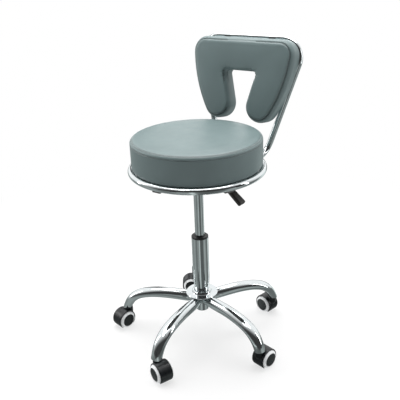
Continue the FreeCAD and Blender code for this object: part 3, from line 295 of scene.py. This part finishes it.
def stuffed(name, outline, profile, place):
    """A closed cover: rings that follow the outline through the profile, filled at both ends.

    profile is a list of (inset, depth). Returns the object, the first vertex of each ring, and how
    many vertices a ring has.
    """
    points, faces, rings = [], [], []
    for inset, depth in profile:
        rings.append(len(points))
        points += [(x, y, depth) for x, y in outline(inset)]
    count = rings[1]
    for low, high in zip(rings, rings[1:]):
        for index in range(count):
            after = (index + 1) % count
            faces.append((low + index, low + after, high + after, high + index))
    for ring, flip in ((0, True), (len(profile) - 1, False)):
        loop = [points[rings[ring] + index][:2] for index in range(count)]
        flat, inner = filled(loop, CLOTH_STEP)
        depth = profile[ring][1]
        extra = len(points) - count
        points += [(x, y, depth) for x, y in flat[count:]]
        for face in inner:
            named = [rings[ring] + v if v < count else v + extra for v in face]
            faces.append(tuple(reversed(named)) if flip else tuple(named))
    piece = mesh_object(name, [place(*point) for point in points], faces)
    shell = bmesh.new()
    shell.from_mesh(piece.data)
    bmesh.ops.recalc_face_normals(shell, faces=shell.faces)
    shell.to_mesh(piece.data)
    shell.free()
    return piece, rings, count


def swell(piece, held, cap):
    """Fills a cover with air as cloth, with some points held, and keeps how far it swells outward.

    The swelling levels off at the cap and is evened out, so that no fold is left in a taut cover.
    """
    start = [vertex.co.copy() for vertex in piece.data.vertices]
    group = piece.vertex_groups.new(name="held")
    for index, weight in held.items():
        group.add([index], weight, "REPLACE")
    cloth = piece.modifiers.new("Cloth", "CLOTH")
    for setting, number in CLOTH.items():
        setattr(cloth.settings, setting, number)
    cloth.settings.effector_weights.gravity = 0
    cloth.point_cache.frame_start = 1
    cloth.point_cache.frame_end = CLOTH_FRAMES
    for step in range(1, CLOTH_FRAMES + 1):
        bpy.context.scene.frame_set(step)
    swollen = piece.evaluated_get(bpy.context.evaluated_depsgraph_get())
    places = [vertex.co.copy() for vertex in swollen.data.vertices]
    piece.modifiers.remove(cloth)
    normals = [vertex.normal.copy() for vertex in piece.data.vertices]
    lifts = [cap * math.tanh((after - before).dot(normal) / cap)
             for before, after, normal in zip(start, places, normals)]
    nearby = [[] for vertex in start]
    for edge in piece.data.edges:
        first, second = edge.vertices
        nearby[first].append(second)
        nearby[second].append(first)
    for turn in range(SMOOTHINGS):
        lifts = [lifts[index] if held.get(index) else
                 (lifts[index] + sum(lifts[other] for other in around) / len(around)) / 2
                 for index, around in enumerate(nearby)]
    for vertex, before, normal, lift in zip(piece.data.vertices, start, normals, lifts):
        vertex.co = before + normal * lift
    piece.data.update()
    bpy.context.scene.frame_set(1)


def mark_painted_seam_shade(piece, shares):
    """Keeps how near each point is to a seam, from 0 to 1, for the material, which paints shade there.
    """
    seam = piece.data.attributes.new("seam", "FLOAT", "POINT")
    seam.data.foreach_set("value", shares)


def subdivide(piece):
    """Applies one level of subdivision surface."""
    only_active(piece)
    modifier = piece.modifiers.new("Subdivision", "SUBSURF")
    modifier.levels = 1
    bpy.ops.object.modifier_apply(modifier=modifier.name)


# ---------------------------------------------------------------- materials

def set_sockets(node, numbers):
    """Sets a node's inputs by name."""
    for socket, number in numbers.items():
        node.inputs[socket].default_value = number


class Nodes:
    """A material's nodes, added by short calls."""

    def __init__(self, name, colour, metallic, roughness):
        """A new material with one colour, to which the calls below add."""
        self.material = bpy.data.materials.new(name)
        self.material.use_nodes = True
        self.tree = self.material.node_tree
        self.shader = self.tree.nodes["Principled BSDF"]
        self.shader.inputs["Base Color"].default_value = (*colour, 1)
        self.shader.inputs["Metallic"].default_value = metallic
        self.shader.inputs["Roughness"].default_value = roughness
        self.place = self.tree.nodes.new("ShaderNodeTexCoord").outputs["Object"]

    def stretched(self, scale):
        """Object coordinates stretched by a scale for each axis."""
        node = self.tree.nodes.new("ShaderNodeMapping")
        node.inputs["Scale"].default_value = scale
        self.tree.links.new(self.place, node.inputs["Vector"])
        return node.outputs["Vector"]

    def noise(self, scale, detail=4.0, vector=None):
        """Smooth noise, round about a half."""
        node = self.tree.nodes.new("ShaderNodeTexNoise")
        node.inputs["Scale"].default_value = scale
        node.inputs["Detail"].default_value = detail
        self.tree.links.new(vector or self.place, node.inputs["Vector"])
        return node.outputs["Fac"]

    def cells(self, scale):
        """How far a point is from the edge of its cell, for leather grain."""
        node = self.tree.nodes.new("ShaderNodeTexVoronoi")
        node.feature = "DISTANCE_TO_EDGE"
        node.inputs["Scale"].default_value = scale
        self.tree.links.new(self.place, node.inputs["Vector"])
        return node.outputs["Distance"]

    def spread(self, value, low, high, start=0.3, stop=0.7):
        """A value between start and stop, spread from low to high."""
        node = self.tree.nodes.new("ShaderNodeMapRange")
        self.tree.links.new(value, node.inputs["Value"])
        set_sockets(node, {"From Min": start, "From Max": stop, "To Min": low, "To Max": high})
        return node.outputs["Result"]

    def mixed(self, value, low, high):
        """A colour between two, by a value from 0 to 1."""
        node = self.tree.nodes.new("ShaderNodeMix")
        node.data_type = "RGBA"
        self.tree.links.new(value, node.inputs["Factor"])
        node.inputs["A"].default_value = (*low, 1)
        node.inputs["B"].default_value = (*high, 1)
        return node.outputs["Result"]

    def attribute(self, name):
        """A value that the mesh keeps for each point."""
        node = self.tree.nodes.new("ShaderNodeAttribute")
        node.attribute_name = name
        return node.outputs["Fac"]

    def darkened(self, colour, value, share):
        """A colour that falls to a share of itself where the value is 1."""
        node = self.tree.nodes.new("ShaderNodeMix")
        node.data_type = "RGBA"
        node.blend_type = "MULTIPLY"
        self.tree.links.new(value, node.inputs["Factor"])
        self.tree.links.new(colour, node.inputs["A"])
        node.inputs["B"].default_value = (share, share, share, 1)
        return node.outputs["Result"]

    def edges(self):
        """About 1 on worn outer edges and 0 elsewhere."""
        node = self.tree.nodes.new("ShaderNodeNewGeometry")
        return self.spread(node.outputs["Pointiness"], 0.0, 1.0, 0.52, 0.60)

    def into(self, value, socket):
        """Leads a value to the shader."""
        self.tree.links.new(value, self.shader.inputs[socket])

    def mottled(self, scale, first, second, detail=4.0, start=0.3, stop=0.7):
        """The base colour wanders between two colours."""
        share = self.spread(self.noise(scale, detail), 0, 1, start, stop)
        self.into(self.mixed(share, first, second), "Base Color")

    def rubbed(self, scale, low, high, detail=4.0):
        """The roughness wanders between two values."""
        self.into(self.spread(self.noise(scale, detail), low, high), "Roughness")

    def grained(self, scale, detail, depth, strength, stretch=None):
        """A fine relief, drawn out by a scale for each axis if one is given."""
        vector = self.stretched(stretch) if stretch else None
        self.bump(self.noise(scale, detail, vector), depth, strength)

    def bump(self, height, depth, strength):
        """Adds a relief to those that the shader has already."""
        node = self.tree.nodes.new("ShaderNodeBump")
        node.inputs["Distance"].default_value = depth
        node.inputs["Strength"].default_value = strength
        self.tree.links.new(height, node.inputs["Height"])
        previous = self.shader.inputs["Normal"]
        if previous.is_linked:
            self.tree.links.new(previous.links[0].from_socket, node.inputs["Normal"])
        self.tree.links.new(node.outputs["Normal"], previous)


def shade(colour, factor):
    """A colour made darker or brighter."""
    return tuple(channel * factor for channel in colour)


def chrome(name, colour):
    """Plated tube: bright, with faint smears, a slight waviness and hairline scratches."""
    nodes = Nodes(name, colour, metallic=1.0, roughness=0.06)
    nodes.rubbed(scale=9.0, low=0.035, high=0.13, detail=5.0)
    nodes.mottled(30.0, shade(colour, 0.90), colour)
    nodes.grained(scale=14.0, detail=1.0, depth=0.6 * MM, strength=0.25)
    nodes.grained(scale=700.0, detail=2.0, depth=0.02 * MM, strength=0.12, stretch=(1, 1, 0.08))
    return nodes.material


def satin_metal(name, colour, roughness):
    """Zinc-plated or turned steel."""
    nodes = Nodes(name, colour, metallic=1.0, roughness=roughness)
    nodes.rubbed(scale=60.0, low=roughness - 0.08, high=roughness + 0.12)
    nodes.mottled(25.0, shade(colour, 0.75), colour)
    nodes.grained(scale=900.0, detail=2.0, depth=0.03 * MM, strength=0.4, stretch=(0.15, 0.15, 1))
    return nodes.material


def coated_metal(name, colour):
    """Powder-coated steel: a fine orange peel, and metal shining through on the edges."""
    bare_steel = (0.12, 0.12, 0.12)
    nodes = Nodes(name, colour, metallic=0.0, roughness=0.42)
    nodes.rubbed(scale=80.0, low=0.34, high=0.52)
    nodes.into(nodes.mixed(nodes.edges(), colour, bare_steel), "Base Color")
    nodes.grained(scale=900.0, detail=2.0, depth=0.06 * MM, strength=0.5)
    return nodes.material


def moulded(name, colour, roughness=0.42):
    """Injection-moulded plastic: spark texture and paler scuffs."""
    nodes = Nodes(name, colour, metallic=0.0, roughness=roughness)
    nodes.mottled(45.0, colour, shade(colour, 1.6), detail=6.0, start=0.48, stop=0.72)
    nodes.rubbed(scale=70.0, low=roughness - 0.07, high=roughness + 0.12)
    nodes.grained(scale=1500.0, detail=2.0, depth=0.05 * MM, strength=0.5)
    return nodes.material


def tyre_rubber(name, colour):
    """Pale polyurethane tread, greyer where it has rolled."""
    nodes = Nodes(name, colour, metallic=0.0, roughness=0.45)
    nodes.mottled(110.0, colour, shade(colour, 0.90), detail=6.0, start=0.50, stop=0.80)
    nodes.rubbed(scale=50.0, low=0.36, high=0.56)
    nodes.grained(scale=1200.0, detail=2.0, depth=0.05 * MM, strength=0.4)
    return nodes.material


def stained_plywood(name):
    """Plywood stained black: the long grain still shows as a relief and as browner streaks."""
    pale, dark = (0.034, 0.031, 0.028), (0.016, 0.015, 0.014)
    nodes = Nodes(name, pale, metallic=0.0, roughness=0.6)
    grain = nodes.noise(60.0, 6.0, nodes.stretched((1, 0.08, 1)))
    nodes.into(nodes.mixed(nodes.spread(grain, 0, 1, 0.35, 0.7), pale, dark), "Base Color")
    nodes.into(nodes.spread(grain, 0.5, 0.72), "Roughness")
    nodes.bump(grain, depth=0.2 * MM, strength=0.5)
    return nodes.material


def vinyl(name, colour):
    """Upholstery vinyl: pebbled leather grain, faint mottling, shinier where it is rubbed, and painted
    shade along the seams and sewn rows.
    """
    nodes = Nodes(name, colour, metallic=0.0, roughness=0.40)
    mottle = nodes.spread(nodes.noise(16.0, 5.0), 0, 1, 0.35, 0.68)
    plain = nodes.mixed(mottle, shade(colour, 0.965), shade(colour, 1.03))
    # Painted shade: the colour darkens along the seams and sewn rows.
    nodes.into(nodes.darkened(plain, nodes.attribute("seam"), PAINTED_SEAM_SHADE), "Base Color")
    nodes.rubbed(scale=28.0, low=0.36, high=0.44)
    nodes.shader.inputs["Specular IOR Level"].default_value = 0.45
    nodes.bump(nodes.spread(nodes.cells(850.0), 0, 1, 0.0, 0.18), depth=0.10 * MM, strength=0.30)
    nodes.grained(scale=240.0, detail=3.0, depth=0.12 * MM, strength=0.25)
    return nodes.material


def thread(name, colour):
    """Twisted polyester thread."""
    nodes = Nodes(name, colour, metallic=0.0, roughness=0.55)
    nodes.mottled(1600.0, shade(colour, 0.8), colour)
    nodes.grained(scale=3000.0, detail=1.0, depth=0.05 * MM, strength=0.6)
    return nodes.material


VINYL_MATERIAL = vinyl("grey_green_vinyl", (0.141, 0.190, 0.192))
THREAD_MATERIAL = thread("seam_thread", (0.40, 0.47, 0.47))

FINISHES = {
    "chrome": chrome("polished_chrome", (0.76, 0.80, 0.81)),
    "bright_steel": satin_metal("turned_steel", (0.58, 0.59, 0.60), 0.24),
    "zinc_steel": satin_metal("zinc_plate", (0.62, 0.62, 0.57), 0.32),
    "black_steel": coated_metal("black_coating", (0.018, 0.018, 0.019)),
    "black_plastic": moulded("black_nylon", (0.016, 0.016, 0.017)),
    "grip_plastic": moulded("lever_grip_plastic", (0.030, 0.027, 0.024), 0.36),
    "caster_plastic": moulded("caster_nylon", (0.0045, 0.0060, 0.0075), 0.30),
    "pale_tyre": tyre_rubber("pale_polyurethane", (0.93, 0.95, 0.96)),
    "rubber": moulded("black_rubber", (0.02, 0.02, 0.02), 0.7),
    "plywood": stained_plywood("black_stained_plywood"),
    "grey_vinyl": VINYL_MATERIAL,
}


def paint(piece, material):
    """Gives a piece this one material."""
    piece.data.materials.clear()
    piece.data.materials.append(material)


for part in frame["record"]["subparts"]:
    paint(frame["nodes"][part["node"]], FINISHES[part["material_slot"]])


# ---------------------------------------------------------------- the seat cushion

def seat_place(x, y, z):
    """A point of the seat, whose outline lies level."""
    return Vector((x, y, z))


def seat_profile():
    """From the tucked-in foot up the side and over the edge to the flat top."""
    side_foot = SEAT_FOOT + SEAT_SIDE_RISE
    side_rise = SEAT_TOP - SEAT_SIDE_DROP - side_foot
    rings = [(inset * MM, SEAT_FOOT + height * MM) for inset, height in SEAT_TUCK]
    rings += [(SEAT_SIDE_INSET, side_foot + side_rise * index / SEAT_SIDE_STEPS)
              for index in range(SEAT_SIDE_STEPS + 1)]
    return rings + [(inset * MM, SEAT_TOP - drop * MM) for inset, drop in SEAT_EDGE]


def stitch_row(name, route, outward):
    """A row of stitches along a closed route of points, each a small rounded capsule.

    outward gives the way that points away from the cover at a place.
    """
    points, faces = [], []
    total = len(route)
    for index in range(total):
        here, after = route[index], route[(index + 1) % total]
        along = (after - here).normalized()
        middle = (here + after) / 2
        up = outward(middle).normalized()
        side = along.cross(up).normalized()
        first = len(points)
        for place, girth in STITCH_RINGS:
            for turn in range(STITCH_SIDES):
                angle = 2 * math.pi * turn / STITCH_SIDES
                ring = side * math.cos(angle) + up * math.sin(angle) * STITCH_FLATNESS
                points.append(middle + along * STITCH_LENGTH * place + ring * STITCH_RADIUS * girth)
        last = first + (len(STITCH_RINGS) - 1) * STITCH_SIDES
        for start in range(first, last, STITCH_SIDES):
            for turn in range(STITCH_SIDES):
                a = start + turn
                b = start + (turn + 1) % STITCH_SIDES
                faces.append((a, b, b + STITCH_SIDES, a + STITCH_SIDES))
        faces.append(tuple(first + turn for turn in reversed(range(STITCH_SIDES))))
        faces.append(tuple(last + turn for turn in range(STITCH_SIDES)))
    piece = mesh_object(name, points, faces)
    paint(piece, THREAD_MATERIAL)
    return piece


def sew_rows(cover, rows):
    """Presses the two sewn rows into the seat's cover and lets its rim ripple a little. It keeps how
    near each point is to a row, where the material paints shade.
    """
    shares = []
    for vertex in cover.data.vertices:
        flat = Vector((vertex.co.x, vertex.co.y, 0))
        if flat.length < SEAT_RADIUS - SEAT_RIM:
            shares.append(0.0)
            continue
        away = min((vertex.co.z - row for row in rows), key=abs)
        shares.append(math.exp(-(away / SEAT_ROW_WIDTH) ** 2))
        ripple = noise.noise(flat.normalized() * RIPPLE_SCALE) * RIPPLE_DEPTH
        depth = SEAT_ROW_DEPTH * shares[-1] + ripple * math.exp(-(away / RIPPLE_REACH) ** 2)
        vertex.co -= flat.normalized() * depth
    cover.data.update()
    mark_painted_seam_shade(cover, shares)


def seat_stitches(label, drop, tilt, surface):
    """One row of stitches round the seat, lying on its cover."""
    height = Vector((0, 0, SEAT_TOP - drop))
    total = round(2 * math.pi * SEAT_RADIUS / STITCH_PITCH)
    route = []
    for index in range(total):
        turn = 2 * math.pi * index / total
        out = Vector((math.cos(turn), math.sin(turn), 0))
        hit, place = surface.ray_cast(out * 2 * SEAT_RADIUS + height, -out)[:2]
        route.append(place if hit else out * SEAT_RADIUS + height)
    row = stitch_row("seat_stitches_" + label, route,
                     lambda point: Vector((point.x, point.y, 0)).normalized() + Vector((0, 0, tilt)))
    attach(row, "seat")


def build_seat():
    """The seat's cover, filled with air and sewn, and its two rows of stitches."""
    profile = seat_profile()
    cover, rings, count = stuffed("seat_cushion_cover", seat_outline, profile, seat_place)
    rows = [SEAT_TOP - drop for drop, tilt in SEAT_ROWS.values()]
    sewn = [min(range(len(profile)), key=lambda index: abs(profile[index][1] - row)) for row in rows]
    held = {index: 1.0 for index, vertex in enumerate(cover.data.vertices)
            if vertex.co.z < SEAT_FOOT + SEAT_HELD}
    held.update({rings[ring] + index: 1.0 for ring in sewn for index in range(count)})
    swell(cover, held, SEAT_SWELL)
    subdivide(cover)
    sew_rows(cover, rows)
    paint(cover, VINYL_MATERIAL)
    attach(cover, "seat")
    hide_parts("seat_cushion")

    surface = cover.evaluated_get(bpy.context.evaluated_depsgraph_get())
    for label, (drop, tilt) in SEAT_ROWS.items():
        seat_stitches(label, drop, tilt, surface)


build_seat()


# ---------------------------------------------------------------- the padded back

def back_place(across, along, forward):
    """A point given in the back frame's plane: across, up along the frame, and in front of it."""
    return Vector((
        across,
        FRAME_ROOT_Y + along * math.sin(RECLINE) - forward * math.cos(RECLINE),
        RING_HEIGHT + along * math.cos(RECLINE) + forward * math.sin(RECLINE)))


def back_profile():
    """From the hem behind the board up the wall and over the roll to the sewn line and front panel."""
    wall_foot = PAD_BACK + PAD_WALL_FOOT
    wall_rise = PAD_WALL_TOP - wall_foot
    rings = [(inset * MM, PAD_BACK + depth * MM) for inset, depth in PAD_HEM]
    rings += [(PAD_WALL_INSET, wall_foot + wall_rise * index / PAD_WALL_STEPS)
              for index in range(PAD_WALL_STEPS + 1)]
    return rings + [(inset * MM, depth * MM) for inset, depth in [*PAD_ROLL, PAD_SEAM, *PAD_PANEL]]


def pucker(across, along):
    """How deep the gathered folds are that fan out from a top corner of the slot."""
    out = Vector((across, along)) - SLOT_CORNER
    reach = max(0.0, out.length - SLOT_RADIUS) / PUCKER_REACH
    if reach > PUCKER_END:
        return 0.0
    fan = math.cos(PUCKER_FOLDS * math.atan2(out.y, out.x))
    folded = PUCKER_EVEN + (1 - PUCKER_EVEN) * max(0.0, fan)
    return PUCKER_DEPTH * math.exp(-reach * reach * PUCKER_FALL) * folded


def crease(cover, seam_places, root, forward, upward):
    """Presses in the sewn line round the front panel and the folds at the slot's corners. It keeps how
    near each point is to the sewn line, where the material paints shade.
    """
    tree = KDTree(len(seam_places))
    for index, place in enumerate(seam_places):
        tree.insert((place.x, place.dot(upward), 0), index)
    tree.balance()
    shares = []
    normals = [vertex.normal.copy() for vertex in cover.data.vertices]
    for vertex, normal in zip(cover.data.vertices, normals):
        place = vertex.co - root
        if place.dot(forward) < PAD_WALL_TOP:
            shares.append(0.0)
            continue
        away = tree.find((place.x, place.dot(upward), 0))[2]
        in_slot = (abs(place.x) < SLOT_CORNER.x + SLOT_CREASE_SIDE
                   and place.dot(upward) > LEG.y - SLOT_CREASE_FOOT)
        shares.append(math.exp(-(away / PAD_SEAM_WIDTH) ** 2) * (SLOT_CREASE if in_slot else 1.0))
        vertex.co -= normal * PAD_SEAM_DEPTH * shares[-1]
        vertex.co -= normal * pucker(abs(place.x), place.dot(upward))
    cover.data.update()
    mark_painted_seam_shade(cover, shares)


def build_back():
    """The pad's cover, filled with air and creased. It wraps the board and closes its back."""
    profile = back_profile()
    cover, rings, count = stuffed("back_pad_cover", pad_outline, profile, back_place)
    root = back_place(0, 0, 0)
    forward = back_place(0, 0, 1) - root
    upward = back_place(0, 1, 0) - root
    seam_ring = len(profile) - len(PAD_PANEL) - 1
    held = {index: 1.0 for index, vertex in enumerate(cover.data.vertices)
            if (vertex.co - root).dot(forward) < BOARD_FRONT}
    for index in range(count):
        along = cover.data.vertices[rings[seam_ring] + index].co - root
        in_slot = abs(along.x) < SLOT_CORNER.x + SLOT_SIDE and along.dot(upward) > LEG.y
        held[rings[seam_ring] + index] = SLOT_HOLD if in_slot else 1.0
    seam_places = [(vertex.co - root).copy() for vertex in
                   list(cover.data.vertices)[rings[seam_ring]:rings[seam_ring] + count]]
    swell(cover, held, PAD_SWELL)
    subdivide(cover)
    crease(cover, seam_places, root, forward, upward)
    paint(cover, VINYL_MATERIAL)
    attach(cover, "seat")
    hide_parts("back_pad")


build_back()


# ---------------------------------------------------------------- floor, light and camera

MIDDLE = (0.0, 0.05, 0.4)
# Centre, width, height, power in watts.
SOFT_BOXES = {
    "overhead_box": ((-0.3, 0.3, 2.4), 2.0, 2.0, 62),
    "left_box": ((-2.2, -0.9, 1.3), 0.35, 1.8, 11),
    "right_strip": ((1.9, 0.9, 1.0), 0.18, 1.8, 7),
}
# Centre, width, height.
FLAGS = {
    "right_flag": ((2.0, 0.4, 0.7), 0.5, 2.2),
    "front_flag": ((-0.1, -2.4, 0.5), 0.45, 1.8),
    "far_left_flag": ((-1.6, 1.4, 0.6), 0.4, 1.8),
    "ceiling_bar_near": ((-0.1, -0.35, 2.0), 1.8, 0.13),
    "ceiling_bar_far": ((-0.4, 0.65, 2.1), 1.8, 0.10),
}
FLAG_CLOTH = (0.012, 0.012, 0.013)


def face_stool(piece, centre):
    """Puts a lamp or card at a point, facing the stool."""
    piece.location = centre
    piece.rotation_mode = "QUATERNION"
    piece.rotation_quaternion = (Vector(MIDDLE) - Vector(centre)).to_track_quat("-Z", "Y")


def soft_box(name, centre, width, height, power):
    """An area lamp that faces the stool."""
    lamp = bpy.data.lights.new(name, "AREA")
    lamp.shape = "RECTANGLE"
    lamp.size, lamp.size_y = width, height
    lamp.energy = power
    box = bpy.data.objects.new(name, lamp)
    face_stool(box, centre)
    bpy.context.scene.collection.objects.link(box)


def flat_card(name, across, along):
    """A flat rectangle, half as wide and as long as this each way from its middle."""
    corners = [(-1, -1), (1, -1), (1, 1), (-1, 1)]
    return mesh_object(name, [(x * across, y * along, 0) for x, y in corners], [(0, 1, 2, 3)], False)


def flag(name, centre, width, height):
    """A dark card that polished metal reflects and the camera doesn't see."""
    card = flat_card(name, width / 2, height / 2)
    face_stool(card, centre)
    card.visible_camera = False
    card.visible_diffuse = False
    card.visible_shadow = False
    paint(card, moulded(name + "_cloth", FLAG_CLOTH, 0.9))


FLOOR_SIZE = 12.0
FLOOR_PAINT = (0.86, 0.86, 0.86)
FLOOR_GLOW = (0.62, 1.0)  # share of white glow at FLOOR_REACH from the stool's axis; near the stool the glow lightens its cast shadow
FLOOR_REACH = (0.3, 1.5)
# Colour of the dim glow that metal sees in place of the floor: a painted reflection.
FLOOR_IN_METAL = (0.26, 0.285, 0.28)
# Share of a turn round the stool, brightness that metal sees there.
FLOOR_STREAKS = [
    (0.0, 1.3), (0.06, 1.0), (0.12, 1.3), (0.205, 0.65), (0.25, 1.1), (0.305, 1.2),
    (0.32, 2.6), (0.335, 1.1), (0.37, 0.45), (0.45, 0.5), (0.50, 1.4), (0.56, 1.0),
    (0.60, 0.6), (0.66, 1.2), (0.72, 3.2), (0.75, 1.0), (0.85, 0.5), (0.93, 1.6),
]


def floor_streaks(nodes):
    """How bright the floor is in metal, all the way round the stool."""
    tree = nodes.tree
    round_about = tree.nodes.new("ShaderNodeTexGradient")
    round_about.gradient_type = "RADIAL"
    tree.links.new(nodes.place, round_about.inputs["Vector"])
    streaks = tree.nodes.new("ShaderNodeFloatCurve")
    tree.links.new(round_about.outputs["Fac"], streaks.inputs["Value"])
    curve = streaks.mapping.curves[0]
    highest = max(height for turn, height in FLOOR_STREAKS)
    for end, turn in ((0, 0.0), (-1, 1.0)):
        curve.points[end].location = (turn, FLOOR_STREAKS[0][1] / highest)
    for turn, height in FLOOR_STREAKS[1:]:
        curve.points.new(turn, height / highest)
    streaks.mapping.update()
    return nodes.spread(streaks.outputs["Value"], 0.0, highest, 0.0, 1.0)


def emission(tree, colour):
    """A plain glow."""
    glow = tree.nodes.new("ShaderNodeEmission")
    glow.inputs["Color"].default_value = (*colour, 1)
    return glow


def shader_mix(tree, share, first, second):
    """One shader that turns into another as the share goes from 0 to 1."""
    mix = tree.nodes.new("ShaderNodeMixShader")
    tree.links.new(share, mix.inputs[0])
    tree.links.new(first.outputs[0], mix.inputs[1])
    tree.links.new(second.outputs[0], mix.inputs[2])
    return mix


def build_floor():
    """A pale floor with a white glow, which lightens the stool's cast shadow and grows to plain white
    away from the stool. Metal sees a dimmer glow with painted streaks instead.
    """
    floor = flat_card("studio_floor", FLOOR_SIZE, FLOOR_SIZE)
    nodes = Nodes("studio_floor_paint", FLOOR_PAINT, metallic=0.0, roughness=0.7)
    nodes.rubbed(scale=6.0, low=0.6, high=0.8)
    tree = nodes.tree
    length = tree.nodes.new("ShaderNodeVectorMath")
    length.operation = "LENGTH"
    tree.links.new(nodes.place, length.inputs[0])
    # Painted light: near the stool the floor is partly a white glow, which lightens the stool's cast
    # shadow.
    glow_share = nodes.spread(length.outputs["Value"], *FLOOR_GLOW, *FLOOR_REACH)
    dim = emission(tree, FLOOR_IN_METAL)
    tree.links.new(floor_streaks(nodes), dim.inputs["Strength"])
    glowing = shader_mix(tree, glow_share, nodes.shader, emission(tree, (1, 1, 1)))
    rays = tree.nodes.new("ShaderNodeLightPath")
    chosen = shader_mix(tree, rays.outputs["Is Glossy Ray"], glowing, dim)
    tree.links.new(chosen.outputs[0], tree.nodes["Material Output"].inputs["Surface"])
    paint(floor, nodes.material)


BACKDROP_WAY = (-0.50, 0.72, 0.48)
BACKDROP_RAMP = (-0.30, 0.62)
DARK_SIDE = 0.05
BRIGHT_SIDE = 1.15


def build_world():
    """White behind the stool for the camera. For all other rays the light is above and behind it."""
    world = bpy.data.worlds.new("studio")
    bpy.context.scene.world = world
    world.use_nodes = True
    tree = world.node_tree
    background = tree.nodes["Background"]
    background.inputs["Color"].default_value = (1.0, 1.0, 1.0, 1)
    way = tree.nodes.new("ShaderNodeTexCoord")
    along = tree.nodes.new("ShaderNodeVectorMath")
    along.operation = "DOT_PRODUCT"
    along.inputs[1].default_value = BACKDROP_WAY
    tree.links.new(way.outputs["Generated"], along.inputs[0])
    ramp = tree.nodes.new("ShaderNodeMapRange")
    ramp.interpolation_type = "SMOOTHSTEP"
    tree.links.new(along.outputs["Value"], ramp.inputs["Value"])
    set_sockets(ramp, {"From Min": BACKDROP_RAMP[0], "From Max": BACKDROP_RAMP[1],
                       "To Min": DARK_SIDE, "To Max": BRIGHT_SIDE})
    rays = tree.nodes.new("ShaderNodeLightPath")
    chosen = tree.nodes.new("ShaderNodeMix")
    tree.links.new(rays.outputs["Is Camera Ray"], chosen.inputs["Factor"])
    tree.links.new(ramp.outputs["Result"], chosen.inputs["A"])
    chosen.inputs["B"].default_value = 1.0
    tree.links.new(chosen.outputs["Result"], background.inputs["Strength"])


CAMERA_DISTANCE = 1.5245
CAMERA_HEIGHT = 1.0891
CAMERA_AZIMUTH = math.radians(35.08)
CAMERA_PAN = math.radians(-0.16)
CAMERA_PITCH = math.radians(22.905)
CAMERA_ROLL = math.radians(-2.07)
CAMERA_LENS = 52.19
CAMERA_SENSOR = 36.0


def build_camera():
    """The camera, placed round the stool's axis."""
    data = bpy.data.cameras.new("camera")
    data.lens = CAMERA_LENS
    data.sensor_width = CAMERA_SENSOR
    camera = bpy.data.objects.new("camera", data)
    camera.location = (CAMERA_DISTANCE * math.sin(CAMERA_AZIMUTH),
                       -CAMERA_DISTANCE * math.cos(CAMERA_AZIMUTH), CAMERA_HEIGHT)
    turn = (Matrix.Rotation(CAMERA_AZIMUTH + CAMERA_PAN, 3, "Z")
            @ Matrix.Rotation(math.pi / 2 - CAMERA_PITCH, 3, "X")
            @ Matrix.Rotation(CAMERA_ROLL, 3, "Z"))
    camera.rotation_mode = "QUATERNION"
    camera.rotation_quaternion = turn.to_quaternion()
    bpy.context.scene.collection.objects.link(camera)
    bpy.context.scene.camera = camera


build_floor()
build_world()
for name, (centre, width, height, power) in SOFT_BOXES.items():
    soft_box(name, centre, width, height, power)
for name, (centre, width, height) in FLAGS.items():
    flag(name, centre, width, height)
build_camera()
bpy.context.scene.view_settings.view_transform = "Standard"
